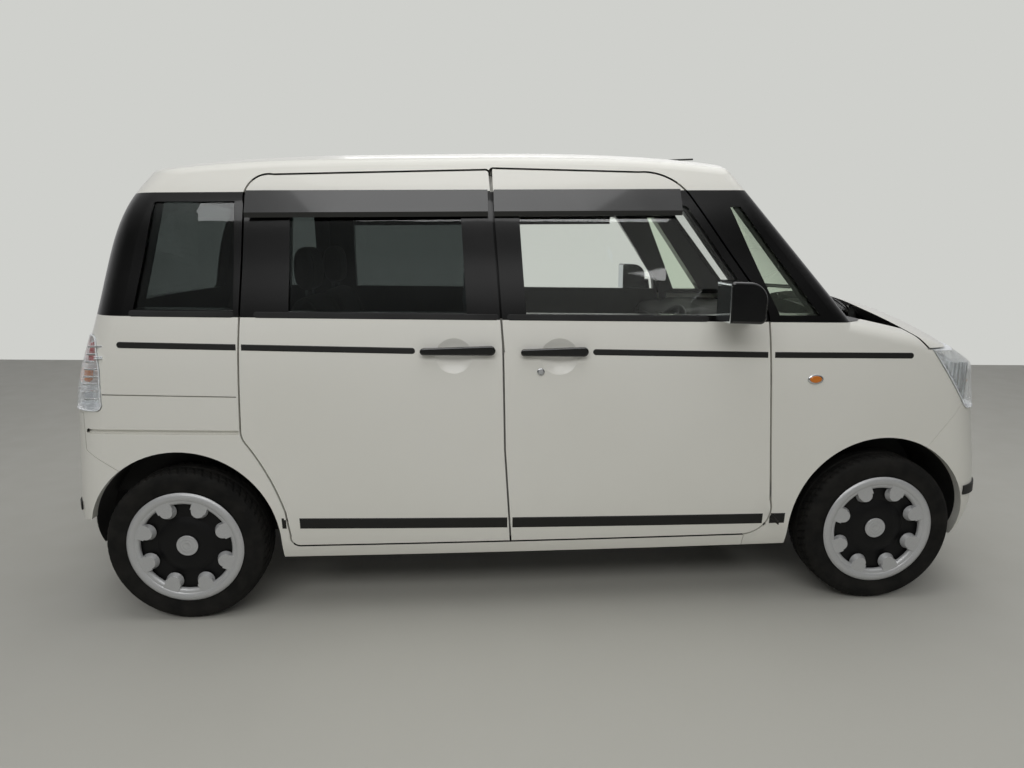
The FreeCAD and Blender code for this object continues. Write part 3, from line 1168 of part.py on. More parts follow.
# ---------------------------------------------------------------- inside mirror, rear wiper
inside_mirror = joined([
    side_cut([[(612, 1420)], [(606, 1450), (612, 1480)], [(628, 1480)], [(634, 1450), (628, 1420)]], -120, 120),
    cylinder(7, (622, 0, 1450), (668, 0, 1478)),
    cylinder(7, (668, 0, 1478), (702, 0, 1585)),
]).common(screen_surface(GLASS_THICK)).cut(roof)
write("inside_mirror", max(inside_mirror.Solids, key=lambda s: s.Volume))
WIPER_HEIGHT = 1070.0
WIPER_LONG = 300.0
wiper_arm = box(TAIL, TAIL + 400, -8, WIPER_LONG, WIPER_HEIGHT - 8, WIPER_HEIGHT + 8).common(LAMP_OUTER)
wiper_pivot = cylinder(20, (TAIL + 98, 0, WIPER_HEIGHT), (TAIL + 160, 0, WIPER_HEIGHT))
rear_wiper = wiper_arm.fuse(wiper_pivot).cut(OUTER)
write("rear_wiper", max(rear_wiper.Solids, key=lambda s: s.Volume))
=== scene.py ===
"""Finishes and fine pieces of the kei car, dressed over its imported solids.

Metres. +X is forward, +Y is the car's left, +Z is up, and the origin is on the ground under the car's middle.
"""
import math

import bmesh
import bpy
import numpy as np
from mathutils import Matrix, Vector


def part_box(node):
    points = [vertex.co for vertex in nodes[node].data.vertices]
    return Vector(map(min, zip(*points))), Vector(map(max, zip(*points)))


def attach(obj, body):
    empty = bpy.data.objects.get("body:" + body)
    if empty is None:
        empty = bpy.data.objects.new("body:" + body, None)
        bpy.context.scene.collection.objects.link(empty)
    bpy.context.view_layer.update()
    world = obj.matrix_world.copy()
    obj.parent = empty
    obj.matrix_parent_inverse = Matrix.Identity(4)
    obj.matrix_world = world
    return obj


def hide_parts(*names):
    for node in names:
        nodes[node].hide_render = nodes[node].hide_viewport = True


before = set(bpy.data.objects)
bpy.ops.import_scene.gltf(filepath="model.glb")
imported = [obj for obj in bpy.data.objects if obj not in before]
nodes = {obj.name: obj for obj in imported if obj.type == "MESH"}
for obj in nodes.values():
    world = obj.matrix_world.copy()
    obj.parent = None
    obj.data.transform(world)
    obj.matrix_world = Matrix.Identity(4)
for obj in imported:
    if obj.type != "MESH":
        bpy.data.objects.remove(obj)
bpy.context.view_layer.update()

# ---------------------------------------------------------------- places, in metres
BELT_HEIGHT = 1.046        # paint to glass line at mid length
BELT_SLOPE = 0.02          # its fall per metre forward
BAND_TOP = 1.470           # upper edge of the black window band
SIDES = {"right": -1.0, "left": 1.0}
CABIN = ((-1.25, -0.30, 0.62), (0.70, 0.30, 1.30))   # faces that look at this box are the cabin's lining
HALF_WIDTH = 0.7375
WHEEL_Y = -.345            # middle of the steering wheel and the driver's seat
OUTSIDE = HALF_WIDTH + 0.06    # where laid-on trims start before they are pressed onto a side
MOTIF_RISE = 0.0006        # vinyl and mouldings above the paint
DISC_RISE = 0.0004         # small oval pieces above their panel
STRIP_STEP = 0.006         # spacing of a strip's points along the car

# Upper vinyl line: x and height of its middle
UPPER_LINE = np.array([(-1.395, .981), (-.998, .969), (-.429, .951), (.172, .939), (.772, .920), (1.285, .908)])
UPPER_LINE_HALF = 0.010
# Lower moulding: x and height of its middle
LOWER_LINE = np.array([(-.907, .354), (-.12, .340), (.857, .326)])
LOWER_LINE_HALF = 0.0195
# name, rear end, front end, rear end rounded, front end rounded, panel it lies on, body it rides on
UPPER_RUNS = [
    ("quarter", -1.402, -1.0155, True, False, "body_side", "root"),
    ("sliding_door", -.998, -.429, False, True, "sliding_door", "root"),
    ("front_door", .165, .7665, True, False, "front_door", "front_door"),
    ("wing", .7905, 1.285, False, True, "front_wing", "root"),
]
LOWER_RUNS = [
    ("rear_sill", -.907, -.858, False, False, "body_side", "root"),
    ("sliding_door", -.846, -.128, False, False, "sliding_door", "root"),
    ("front_door", -.110, .786, False, False, "front_door", "front_door"),
    ("wing", .8125, .868, False, False, "front_wing", "root"),
]

# Eye of the view: place, degrees turned from square to the side, degrees down, degrees of roll
VIEW_FROM = (-0.220, -3.033, 1.310)
VIEW_YAW, VIEW_PITCH, VIEW_ROLL = 2.78, 11.65, -0.38
VIEW_LENS = 24.609


# ---------------------------------------------------------------- finishes
def linear(colour):
    """Linear colour of an sRGB hex value."""
    parts = [int(colour[i:i + 2], 16) / 255 for i in (1, 3, 5)]
    return [p / 12.92 if p <= 0.04045 else ((p + 0.055) / 1.055) ** 2.4 for p in parts] + [1.0]


def add(tree, kind, settings=None, links=None):
    """Adds a node: settings are its attributes or input values, links are inputs and the outputs that feed them."""
    made = tree.nodes.new("ShaderNode" + kind)
    for key, value in (settings or {}).items():
        if isinstance(key, str) and hasattr(made, key):
            setattr(made, key, value)
        else:
            made.inputs[key].default_value = value
    for key, output in (links or {}).items():
        tree.links.new(output, made.inputs[key])
    return made


def finish(name, colour, **values):
    """New material with one principled shader of the given colour and values."""
    made = bpy.data.materials.new(name)
    made.use_nodes = True
    shader = made.node_tree.nodes["Principled BSDF"]
    shader.inputs["Base Color"].default_value = linear(colour)
    for key, value in values.items():
        shader.inputs[key.replace("_", " ")].default_value = value
    made.diffuse_color = linear(colour)
    return made


def place(tree):
    """Object coordinates, the same for every piece because each object sits at the origin."""
    return add(tree, "TexCoord").outputs["Object"]


def roughened(made, size, depth, low, high, detail=4.0):
    """Noise of a real grain size in metres: bump of the given depth, and roughness that wanders from low to high."""
    tree = made.node_tree
    shader = tree.nodes["Principled BSDF"]
    where = place(tree)
    grain = add(tree, "TexNoise", {"Scale": 1 / size, "Detail": detail, "Roughness": 0.6}, {"Vector": where})
    bump = add(tree, "Bump", {"Strength": 1.0, "Distance": depth}, {"Height": grain.outputs["Fac"]})
    patch = add(tree, "TexNoise", {"Scale": 6.0, "Detail": 3.0}, {"Vector": where})
    spread = add(tree, "MapRange", {"From Min": 0.3, "From Max": 0.7, "To Min": low, "To Max": high},
                 {"Value": patch.outputs["Fac"]})
    tree.links.new(bump.outputs["Normal"], shader.inputs["Normal"])
    tree.links.new(spread.outputs["Result"], shader.inputs["Roughness"])
    return made


def tinted(made, colour_a, colour_b, size, low=0.35, high=0.65):
    """Noise patches of two colours, size metres across."""
    tree = made.node_tree
    patch = add(tree, "TexNoise", {"Scale": 1 / size, "Detail": 3.0}, {"Vector": place(tree)})
    spread = add(tree, "MapRange", {"From Min": low, "From Max": high}, {"Value": patch.outputs["Fac"]})
    both = add(tree, "Mix", {"data_type": "RGBA", 6: linear(colour_a), 7: linear(colour_b)},
               {0: spread.outputs["Result"]})
    tree.links.new(both.outputs[2], tree.nodes["Principled BSDF"].inputs["Base Color"])
    return made


# Baked pearl enamel under clear lacquer: warm white, with a fine ripple in the lacquer that softens reflections.
def pearl_enamel(name):
    """Enamel whose white wanders a little over about a metre."""
    made = finish(name, "#E8E7E0", IOR=1.5, Coat_Weight=0.35, Coat_Roughness=0.06, Specular_IOR_Level=0.22)
    tinted(made, "#EAE9E2", "#E7E6DE", 0.9)
    return roughened(made, 0.004, 0.00001, 0.29, 0.31)


pearl = pearl_enamel("pearl_enamel")
# The same enamel below the window line, with the gloss black film of the pillars and window frames above it.
two_tone = pearl_enamel("pearl_enamel_with_black_window_band")
tree = two_tone.node_tree
spot = add(tree, "SeparateXYZ", links={"Vector": place(tree)})
sloped = add(tree, "Math", {"operation": "MULTIPLY_ADD", 1: BELT_SLOPE}, {0: spot.outputs["X"], 2: spot.outputs["Z"]})
above = add(tree, "Math", {"operation": "GREATER_THAN", 1: BELT_HEIGHT}, {0: sloped.outputs[0]})
below = add(tree, "Math", {"operation": "LESS_THAN", 1: BAND_TOP}, {0: spot.outputs["Z"]})
in_band = add(tree, "Math", {"operation": "MULTIPLY"}, {0: above.outputs[0], 1: below.outputs[0]})
shader = tree.nodes["Principled BSDF"]
enamel_colour = shader.inputs["Base Color"].links[0].from_socket
banded = add(tree, "Mix", {"data_type": "RGBA", 7: linear("#080808")}, {0: in_band.outputs[0], 6: enamel_colour})
tree.links.new(banded.outputs[2], shader.inputs["Base Color"])

# Gloss black film over pressed steel, and piano-black ABS: near black, sharp soft reflections.
black_gloss = roughened(finish("gloss_black_abs", "#0D0E0E", IOR=1.49, Coat_Weight=0.6, Coat_Roughness=0.05),
                        0.003, 0.00001, 0.12, 0.22)
# Matt black vinyl of the side lines: no shine, a faint print grain.
black_vinyl = roughened(finish("matt_black_vinyl", "#161614", IOR=1.45), 0.0012, 0.00004, 0.5, 0.62)
# Moulded polypropylene: charcoal, with the 1.5 mm leather-like grain of its mould.
grained_black = roughened(finish("grained_black_polypropylene", "#1B1B1A", IOR=1.49), 0.0015, 0.00015, 0.52, 0.68)
# Injection-moulded lining of the doors and pillars: warm dark grey.
lining = roughened(finish("moulded_lining_abs", "#2B2A28", IOR=1.5), 0.002, 0.00015, 0.6, 0.75)
# Needle-felt headliner: pale greige, fuzzy.
headliner = roughened(finish("needle_felt_headliner", "#B9B4A6", IOR=1.4, Sheen_Weight=0.3), 0.0012, 0.0002, 0.9,
                      0.97)
# Rubber of seals and gaiters: black, dull.
seal_rubber = roughened(finish("extruded_epdm_rubber", "#121212", IOR=1.52), 0.002, 0.00006, 0.7, 0.82)
# Tyre rubber: carbon-black compound, greyer where dust settles in the sidewall.
tyre_rubber = roughened(finish("carbon_black_tyre_rubber", "#0C0C0B", IOR=1.52, Specular_IOR_Level=0.15), 0.003,
                        0.00012, 0.74, 0.9)
tinted(tyre_rubber, "#161615", "#22211F", 0.05)
# Silver-painted ABS wheel cover: fine metallic flake under lacquer.
wheel_silver = roughened(finish("metallic_silver_paint_on_abs", "#D9D9D6", Metallic=0.25, Coat_Weight=0.4,
                                Coat_Roughness=0.12), 0.0008, 0.00003, 0.34, 0.42)
tinted(wheel_silver, "#C3C4C4", "#B4B5B6", 0.0015)
# Satin black paint of the cover's dish.
dish_black = roughened(finish("satin_black_paint_on_abs", "#0D0D0E", IOR=1.5, Specular_IOR_Level=0.25), 0.0015,
                       0.00005, 0.42, 0.55)
# E-coated and black-painted steel of axles, arms and the floor: dull, dusty.
chassis_steel = roughened(finish("black_chassis_paint", "#1C1C1D", IOR=1.5), 0.006, 0.0002, 0.55, 0.8)
tinted(chassis_steel, "#19191A", "#2E2B27", 0.08)
# Aluminised exhaust steel: grey with heat-browned patches.
exhaust_steel = roughened(finish("aluminised_exhaust_steel", "#8C8A86", Metallic=0.9), 0.004, 0.0001, 0.38, 0.6)
tinted(exhaust_steel, "#8F8E8B", "#6F6255", 0.06)
# Cast aluminium block and gearbox case: grey, sand-cast skin.
cast_alloy = roughened(finish("cast_aluminium", "#8A8C8E", Metallic=0.8), 0.003, 0.0003, 0.5, 0.65)
# Vacuum-aluminised reflector behind the lamp lenses: bright, mirror-like.
reflector = roughened(finish("aluminised_reflector", "#F2F4F7", Metallic=0.35), 0.02, 0.0004, 0.12, 0.2)
# Silver-lacquered lamp housing behind the lens: bright, satin.
lamp_silver = roughened(finish("silver_lacquered_lamp_housing", "#F2F5F8", Metallic=0.1), 0.01, 0.0002, 0.24, 0.34)
# Bright trim chrome.
chrome = roughened(finish("chrome_plated_abs", "#D8DADB", Metallic=1.0), 0.05, 0.00002, 0.06, 0.12)
# First-surface mirror glass.
mirror_glass = roughened(finish("silvered_mirror_glass", "#DDE2E4", Metallic=1.0), 0.05, 0.000005, 0.02, 0.04)
# Laminated and tempered soda-lime glass: clear, a green cast from its iron.
clear_glass = finish("tempered_green_glass", "#FAFCFA", Roughness=0.0, IOR=1.45, Transmission_Weight=1.0)
tinted(clear_glass, "#FBFDFB", "#F8FBF8", 0.7)
# Deep green front quarter light.
quarter_glass = finish("tempered_quarter_glass", "#D6E6D2", Roughness=0.0, IOR=1.45, Transmission_Weight=1.0)
tinted(quarter_glass, "#E2EEDD", "#DEEBD9", 0.7)
# Privacy glass, dyed in the melt: lets about a fifth of the light through, neutral grey.
privacy_glass = finish("privacy_glass", "#737877", Roughness=0.0, IOR=1.45, Transmission_Weight=1.0)
tinted(privacy_glass, "#8B9190", "#888E8D", 0.7)
# Smoked acrylic of the rain visors: nearly black, a little see-through.
smoked_acrylic = finish("smoked_acrylic", "#4A4A47", Roughness=0.05, IOR=1.49, Transmission_Weight=0.85)
tinted(smoked_acrylic, "#4B4B48", "#464644", 0.5)
# Clear polycarbonate lamp lens.
lens_clear = finish("clear_polycarbonate_lens", "#F4F6F7", Roughness=0.02, IOR=1.45, Transmission_Weight=1.0,
                    Alpha=0.35)
tinted(lens_clear, "#F6F8F9", "#F1F4F6", 0.3)
# Red and amber lamp caps behind the clear lens.
lamp_red = roughened(finish("red_acrylic_cap", "#B0161A", IOR=1.49, Coat_Weight=1.0), 0.004, 0.0004, 0.15, 0.25)
lamp_amber = roughened(finish("amber_acrylic_cap", "#D97A1C", IOR=1.49, Coat_Weight=1.0), 0.004, 0.0004, 0.15, 0.25)
# Lit panel behind the dash display: pale blue glow.
display_blue = finish("lit_display_panel", "#2F5F9C", Roughness=0.2, Emission_Color=linear("#86AEDD"),
                      Emission_Strength=0.5)
tinted(display_blue, "#2B5690", "#8FB8E2", 0.045, low=0.45, high=0.55)
# Polyethylene dust film over the driver's seat: thin, milky, creased.
dust_film = finish("polyethylene_dust_film", "#DDE6EC", Roughness=0.22, IOR=1.12, Transmission_Weight=0.72)
roughened(dust_film, 0.03, 0.006, 0.16, 0.34, 6.0)


def woven(name, colour_a, colour_b, thread):
    """Plain-woven seat cloth: threads of the given spacing cross in two directions."""
    made = finish(name, colour_a, IOR=1.45, Sheen_Weight=0.35)
    tree = made.node_tree
    where = place(tree)
    warp = add(tree, "TexWave", {"wave_type": "BANDS", "bands_direction": "Y", "Scale": 0.5 / thread,
                                 "Distortion": 0.6}, {"Vector": where})
    weft = add(tree, "TexWave", {"wave_type": "BANDS", "bands_direction": "Z", "Scale": 0.5 / thread,
                                 "Distortion": 0.6}, {"Vector": where})
    cross = add(tree, "Math", {"operation": "MULTIPLY"}, {0: warp.outputs["Fac"], 1: weft.outputs["Fac"]})
    melange = add(tree, "TexNoise", {"Scale": 160.0, "Detail": 2.0}, {"Vector": where})
    blend = add(tree, "Math", {"operation": "ADD"}, {0: cross.outputs[0], 1: melange.outputs["Fac"]})
    half = add(tree, "Math", {"operation": "MULTIPLY", 1: 0.5}, {0: blend.outputs[0]})
    both = add(tree, "Mix", {"data_type": "RGBA", 6: linear(colour_a), 7: linear(colour_b)}, {0: half.outputs[0]})
    bump = add(tree, "Bump", {"Strength": 1.0, "Distance": 0.0006}, {"Height": cross.outputs[0]})
    shader = tree.nodes["Principled BSDF"]
    shader.inputs["Roughness"].default_value = 0.92
    tree.links.new(both.outputs[2], shader.inputs["Base Color"])
    tree.links.new(bump.outputs["Normal"], shader.inputs["Normal"])
    return made


# Woven polyester seat cloth: warm dark brown, 4 mm basket weave drawn coarse enough to show.
seat_cloth = woven("woven_polyester_seat_cloth", "#3A332D", "#5A4E43", 0.004)


# ---------------------------------------------------------------- mesh making
def piece_from(name, points, faces, material, closed=False):
    """Mesh object of an array of points and an array of four-sided faces; a closed one is welded and faces
    outwards."""
    mesh = bpy.data.meshes.new(name)
    mesh.vertices.add(len(points))
    mesh.vertices.foreach_set("co", np.ascontiguousarray(points, dtype=np.float32).ravel())
    mesh.loops.add(faces.size)
    mesh.loops.foreach_set("vertex_index", np.ascontiguousarray(faces, dtype=np.int32).ravel())
    mesh.polygons.add(len(faces))
    mesh.polygons.foreach_set("loop_start", np.arange(len(faces), dtype=np.int32) * 4)
    mesh.update(calc_edges=True)
    mesh.polygons.foreach_set("use_smooth", np.full(len(faces), True))
    if closed:
        shape = bmesh.new()
        shape.from_mesh(mesh)
        bmesh.ops.remove_doubles(shape, verts=shape.verts, dist=1e-6)
        bmesh.ops.dissolve_degenerate(shape, edges=shape.edges, dist=1e-7)
        bmesh.ops.recalc_face_normals(shape, faces=shape.faces)
        shape.to_mesh(mesh)
        shape.free()
    mesh.validate()
    mesh.materials.append(material)
    made = bpy.data.objects.new(name, mesh)
    bpy.context.scene.collection.objects.link(made)
    return made


def grid_faces(count, across, ring, loop=False):
    """Faces of a grid of points: ring joins the last column to the first, loop joins the last row to the first."""
    i = np.arange(count if loop else count - 1)[:, None]
    j = np.arange(across if ring else across - 1)[None, :]
    down = (i + 1) % count
    right = (j + 1) % across
    corners = [i * across + j, i * across + right, down * across + right, down * across + j]
    return np.stack([c + 0 * i + 0 * j for c in corners], axis=-1).reshape(-1, 4)


def grid_piece(name, rows, material, ring=False, loop=False, closed=False):
    """Surface through a grid of points."""
    faces = grid_faces(rows.shape[0], rows.shape[1], ring, loop)
    return piece_from(name, rows.reshape(-1, 3), faces, material, closed)


def unit(v):
    """Vectors of length one."""
    return v / np.maximum(np.linalg.norm(v, axis=-1, keepdims=True), 1e-12)


def swept(path, section, up=(0, 0, 1), taper=None):
    """Closed tube: the section, points of (across, upward), is carried square to the path; its ends draw in to a
    point at the middle, so the form is closed. taper scales it along the path."""
    path, section = np.asarray(path, float), np.asarray(section, float)
    ahead = unit(np.gradient(path, axis=0))
    side = unit(np.cross(ahead, np.asarray(up, float)))
    lift = np.cross(side, ahead)
    scale = np.ones(len(path)) if taper is None else np.asarray(taper, float)
    rings = (path[:, None] + scale[:, None, None] * (section[None, :, :1] * side[:, None]
                                                     + section[None, :, 1:] * lift[:, None]))
    middle = section.mean(axis=0)
    ends = [p + s * (middle[0] * a + middle[1] * b) for p, s, a, b in
            ((path[0], scale[0], side[0], lift[0]), (path[-1], scale[-1], side[-1], lift[-1]))]
    first = np.broadcast_to(ends[0], rings[:1].shape)
    last = np.broadcast_to(ends[1], rings[:1].shape)
    return np.concatenate([first, rings, last])


def round_section(radius, count):
    """Circle."""
    turn = np.linspace(0, 2 * np.pi, count, endpoint=False)
    return np.stack([radius * np.cos(turn), radius * np.sin(turn)], axis=1)


def box_section(half_across, half_up, corner, count=16):
    """Rounded rectangle as a superellipse: the smaller the corner, the squarer."""
    turn = np.linspace(0, 2 * np.pi, count, endpoint=False) + np.pi / count
    c, s = np.cos(turn), np.sin(turn)
    return np.stack([half_across * np.sign(c) * np.abs(c) ** corner,
                     half_up * np.sign(s) * np.abs(s) ** corner], axis=1)


def blend_line(points, count):
    """Smooth open line through a few points: a Catmull-Rom curve sampled count times."""
    points = np.asarray(points, float)
    padded = np.concatenate([2 * points[:1] - points[1:2], points, 2 * points[-1:] - points[-2:-1]])
    t = np.linspace(0, len(points) - 1 - 1e-9, count)
    i = t.astype(int)
    f = (t - i)[:, None]
    a, b, c, d = padded[i], padded[i + 1], padded[i + 2], padded[i + 3]
    return 0.5 * (2 * b + (c - a) * f + (2 * a - 5 * b + 4 * c - d) * f ** 2 + (3 * b - 3 * c + d - a) * f ** 3)


def smooth_loop(points):
    """Closed outline with its corners cut off three times, which rounds them."""
    points = np.asarray(points, float)
    for _ in range(3):
        following = np.roll(points, -1, axis=0)
        points = np.stack([0.75 * points + 0.25 * following, 0.25 * points + 0.75 * following], axis=1)
        points = points.reshape(-1, points.shape[-1])
    return points


def laid(made, panel, axis, push, rise):
    """Adds the projection that presses a piece along an axis onto a CAD panel, rise metres above it."""
    wrap = made.modifiers.new("lay", "SHRINKWRAP")
    wrap.target = nodes[panel]
    wrap.wrap_method = "PROJECT"
    wrap.use_project_x, wrap.use_project_y, wrap.use_project_z = (axis == k for k in range(3))
    wrap.use_positive_direction = push > 0
    wrap.use_negative_direction = push < 0
    wrap.offset = rise


def walled(made, thick, offset=-1.0):
    """Gives a sheet its wall, inwards for an offset of -1 and outwards for 1, and bakes it in."""
    wall = made.modifiers.new("wall", "SOLIDIFY")
    wall.thickness = thick
    wall.offset = offset
    return applied(made)


def pressed(made, panel, push, thick):
    """Presses a flat piece along Y onto a CAD panel, then gives it its thickness."""
    laid(made, panel, 1, push, MOTIF_RISE)
    return walled(made, thick, 1.0)


def applied(made):
    """Bakes the modifiers into the mesh."""
    graph = bpy.context.evaluated_depsgraph_get()
    mesh = bpy.data.meshes.new_from_object(made.evaluated_get(graph))
    made.modifiers.clear()
    made.data = mesh
    return made


def faces_of(mesh):
    """Middles and normals of a mesh's faces."""
    count = len(mesh.polygons)
    middles, normals = np.empty(count * 3, np.float32), np.empty(count * 3, np.float32)
    mesh.polygons.foreach_get("center", middles)
    mesh.polygons.foreach_get("normal", normals)
    return middles.reshape(-1, 3), normals.reshape(-1, 3)


def facing(mesh, low, high):
    """How squarely each face looks at a box: 1 straight at it, -1 straight away."""
    middles, normals = faces_of(mesh)
    way = np.clip(middles, low, high) - middles
    return (unit(way) * normals).sum(axis=1)


def dress(node, outside, inside=None):
    """Gives a CAD node its finish, and its faces that look into the cabin another."""
    mesh = nodes[node].data
    mesh.materials.clear()
    mesh.materials.append(outside)
    if inside:
        mesh.materials.append(inside)
        mesh.polygons.foreach_set("material_index", (facing(mesh, *CABIN) > 0.45).astype(np.int32))


def body_on(body, side):
    """Body of that name on one side of the car; the root has no sides."""
    return body if body == "root" else f"{body}_{side}"


def ride(made, body="root"):
    """Puts a piece on its body."""
    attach(made, body)
    return made


# ---------------------------------------------------------------- CAD nodes and their finishes
for side in SIDES:
    dress("body_side_" + side, two_tone, lining)
    dress("front_door_" + side, two_tone, lining)
    dress("sliding_door_" + side, two_tone, lining)
    dress("front_wing_" + side, pearl)
    dress("front_door_glass_" + side, clear_glass)
    dress("door_mirror_" + side, black_gloss)
    dress("knuckle_" + side, cast_alloy)
    for end in ("front", "rear"):
        dress(f"{end}_wheel_{side}", wheel_silver)
        dress(f"{end}_wheel_dish_{side}", dish_black)
        dress(f"{end}_tyre_{side}", tyre_rubber)
# finish outside, finish of the faces that look into the cabin, nodes
FINISHES = [
    (pearl, headliner, "roof"),
    (two_tone, lining, "tailgate"),
    (pearl, chassis_steel, "bonnet"),
    (chassis_steel, lining, "floor_pan"),
    (pearl, None, "front_bumper rear_bumper"),
    (grained_black, None, "cowl steering_wheel aerial wheel_wells bumper_trim inside_mirror rear_wiper"),
    (black_gloss, None, "grille front_door_trim_left front_door_trim_right sliding_door_trim"),
    (clear_glass, None, "windscreen"),
    (quarter_glass, None, "front_quarter_glass"),
    (privacy_glass, None, "sliding_door_glass rear_quarter_glass tailgate_glass"),
    (lens_clear, None, "headlamps tail_lamps"),
    (seal_rubber, None, "sliding_door_seals"),
    (lining, None, "dashboard"),
    (seat_cloth, None, "front_seats rear_seats"),
    (exhaust_steel, None, "exhaust"),
    (cast_alloy, None, "engine_block radiator"),
    (chassis_steel, None, "fuel_tank front_suspension rear_axle"),
]
for outside, inside, names in FINISHES:
    for node in names.split():
        dress(node, outside, inside)

# The mirrors' rear faces are silvered.
for side in SIDES:
    mesh = nodes["door_mirror_" + side].data
    mesh.materials.append(mirror_glass)
    middles, normals = faces_of(mesh)
    outboard = np.abs(middles[:, 1]) > HALF_WIDTH + 0.03
    mesh.polygons.foreach_set("material_index", ((normals[:, 0] < -0.85) & outboard).astype(np.int32))


# ---------------------------------------------------------------- side lines
def line_strip(line, half, start, end, round_start, round_end, side):
    """Flat strip that follows a line at a constant half height: x runs on a grid, and a rounded end narrows it as a
    half circle does."""
    y = SIDES[side] * OUTSIDE
    count = max(12, int((end - start) / STRIP_STEP))
    x = start + (end - start) * (0.5 - 0.5 * np.cos(np.linspace(0, np.pi, count)))
    level = np.interp(x, line[:, 0], line[:, 1])
    width = np.full(count, half)
    for rounded, reach in ((round_start, x - start), (round_end, end - x)):
        if rounded:
            inside = np.clip(half - reach, 0, half)
            width = np.minimum(width, np.sqrt(np.maximum(half ** 2 - inside ** 2, 1e-10)))
    across = np.linspace(-1, 1, 7)
    rows = np.empty((count, 7, 3))
    rows[:, :, 0] = x[:, None]
    rows[:, :, 1] = y
    rows[:, :, 2] = level[:, None] + across[None, :] * width[:, None]
    return rows if side == "right" else rows[:, ::-1]


for side, sign in SIDES.items():
    for runs, line, half, label, thick in ((UPPER_RUNS, UPPER_LINE, UPPER_LINE_HALF, "upper_line", 0.0004),
                                           (LOWER_RUNS, LOWER_LINE, LOWER_LINE_HALF, "lower_moulding", 0.0012)):
        for name, start, end, round_start, round_end, panel, body in runs:
            rows = line_strip(line, half, start, end, round_start, round_end, side)
            strip = grid_piece(f"{label}_{name}_{side}", rows, black_vinyl)
            pressed(strip, f"{panel}_{side}", -sign, thick=thick)
            ride(strip, body_on(body, side))


# ---------------------------------------------------------------- tyres
TYRE_HALF = 0.0774
BEAD = 0.1785
TREAD_DEPTH = 0.0065
TREAD_EDGE = 0.0085        # drop below the crown where the tread ends
GROOVE_MIDDLE, GROOVE_SPREAD, GROOVE_HALF = 0.033, 0.0165, 0.0024   # grooves at the middle plus and minus the spread
SLOT_LEAN = 90             # turn of the shoulder slots, radians of their comb per metre across
SLOT_START = 0.020         # distance from the middle of the tread
RIB_RISE = 0.0012
WALL_RIBS = ((0.068, 0.002), (0.030, 0.0018))   # drop and half width of the side wall's ribs
# Half section from the bead to the middle of the tread: drop below the crown, distance from the middle
TYRE_OUTLINE = [(.0955, .0520), (.0930, .0605), (.0860, .0655), (.0700, .0715), (.0440, .0768), (.0300, .0762),
                (.0190, .0738), (.0125, .0705), (.0075, .0655), (.0040, .0590), (.0018, .0460), (.0006, .0250), (0, 0)]
AROUND = 480
PITCHES = 60               # tread blocks round the tyre


def tyre(name, centre, radius):
    """Road tyre: the section, from bead to bead, is turned about the axle; four grooves run round it, and slots,
    a cosine comb that leans with the distance from the middle, cut the shoulders. The side walls carry two ribs."""
    half = blend_line(TYRE_OUTLINE, 44)
    half = half[np.concatenate([[True], np.linalg.norm(np.diff(half, axis=0), axis=1) > 1e-5])]
    drop = np.concatenate([half[:, 0], half[-2::-1, 0]])
    across = np.concatenate([half[:, 1], -half[-2::-1, 1]])
    fine = np.linspace(0, 1, 119)
    run = np.concatenate([[0], np.cumsum(np.hypot(np.diff(drop), np.diff(across)))])
    drop = np.interp(fine, run / run[-1], drop)
    across = np.interp(fine, run / run[-1], across)
    turn = np.linspace(0, 2 * np.pi, AROUND, endpoint=False)[:, None]
    wide = np.abs(across)[None, :]
    tread = np.clip((TREAD_EDGE - drop[None, :]) / 0.002, 0, 1)
    rings = np.clip(1.6 - np.abs(np.abs(wide - GROOVE_MIDDLE) - GROOVE_SPREAD) / GROOVE_HALF, 0, 1)
    slots = np.clip((np.cos(PITCHES * turn + SLOT_LEAN * across[None, :]) - 0.72) * 9, 0, 1)
    slots = slots * np.clip((wide - SLOT_START) / 0.004, 0, 1)
    cut = TREAD_DEPTH * tread * np.maximum(rings, 0.8 * slots)
    ribs = RIB_RISE * sum(np.exp(-((drop[None, :] - at) / half_wide) ** 2) for at, half_wide in WALL_RIBS)
    ribs = ribs * np.clip((wide - 0.069) / 0.002, 0, 1)
    out = radius - drop[None, :] - cut
    y = centre[1] + across[None, :] + np.sign(across)[None, :] * (ribs - 0.0008) + 0 * turn
    outer = np.stack([centre[0] + out * np.sin(turn), y, centre[2] + out * np.cos(turn)], axis=-1)
    bead = np.stack([centre[0] + BEAD * np.sin(turn), centre[1] + 0 * turn + 0.05,
                     centre[2] + BEAD * np.cos(turn)], axis=-1)
    far_bead = bead.copy()
    far_bead[..., 1] = centre[1] - 0.05
    rows = np.concatenate([bead, outer, far_bead], axis=1)
    return grid_piece(name, rows, tyre_rubber, ring=True, loop=True, closed=True)


WHEELS = []                # end, side, centre
for end in ("front", "rear"):
    for side in SIDES:
        node = f"{end}_tyre_{side}"
        low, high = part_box(node)
        centre = [(a + b) / 2 for a, b in zip(low, high)]
        made = tyre(f"{end}_tread_{side}", centre, (high[2] - low[2]) / 2)
        ride(made, f"{end}_wheel_{side}")
        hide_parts(node)
        WHEELS.append((end, side, centre))


# ---------------------------------------------------------------- wheel caps
def turned_piece(name, centre, outline, material, side):
    """Form turned about an axle: the outline, (radius, outboard), starts and ends on the axle."""
    outline = np.asarray(outline, float)
    turn = np.linspace(0, 2 * np.pi, 96, endpoint=False)[:, None]
    radius = outline[None, :, 0]
    y = centre[1] + SIDES[side] * outline[None, :, 1] + 0 * turn
    rows = np.stack([centre[0] + radius * np.sin(turn), y, centre[2] + radius * np.cos(turn)], axis=-1)
    return grid_piece(name, rows, material, loop=True, closed=True)


CAP_OUT = 0.0575           # the cap's face outboard of the tyre's middle
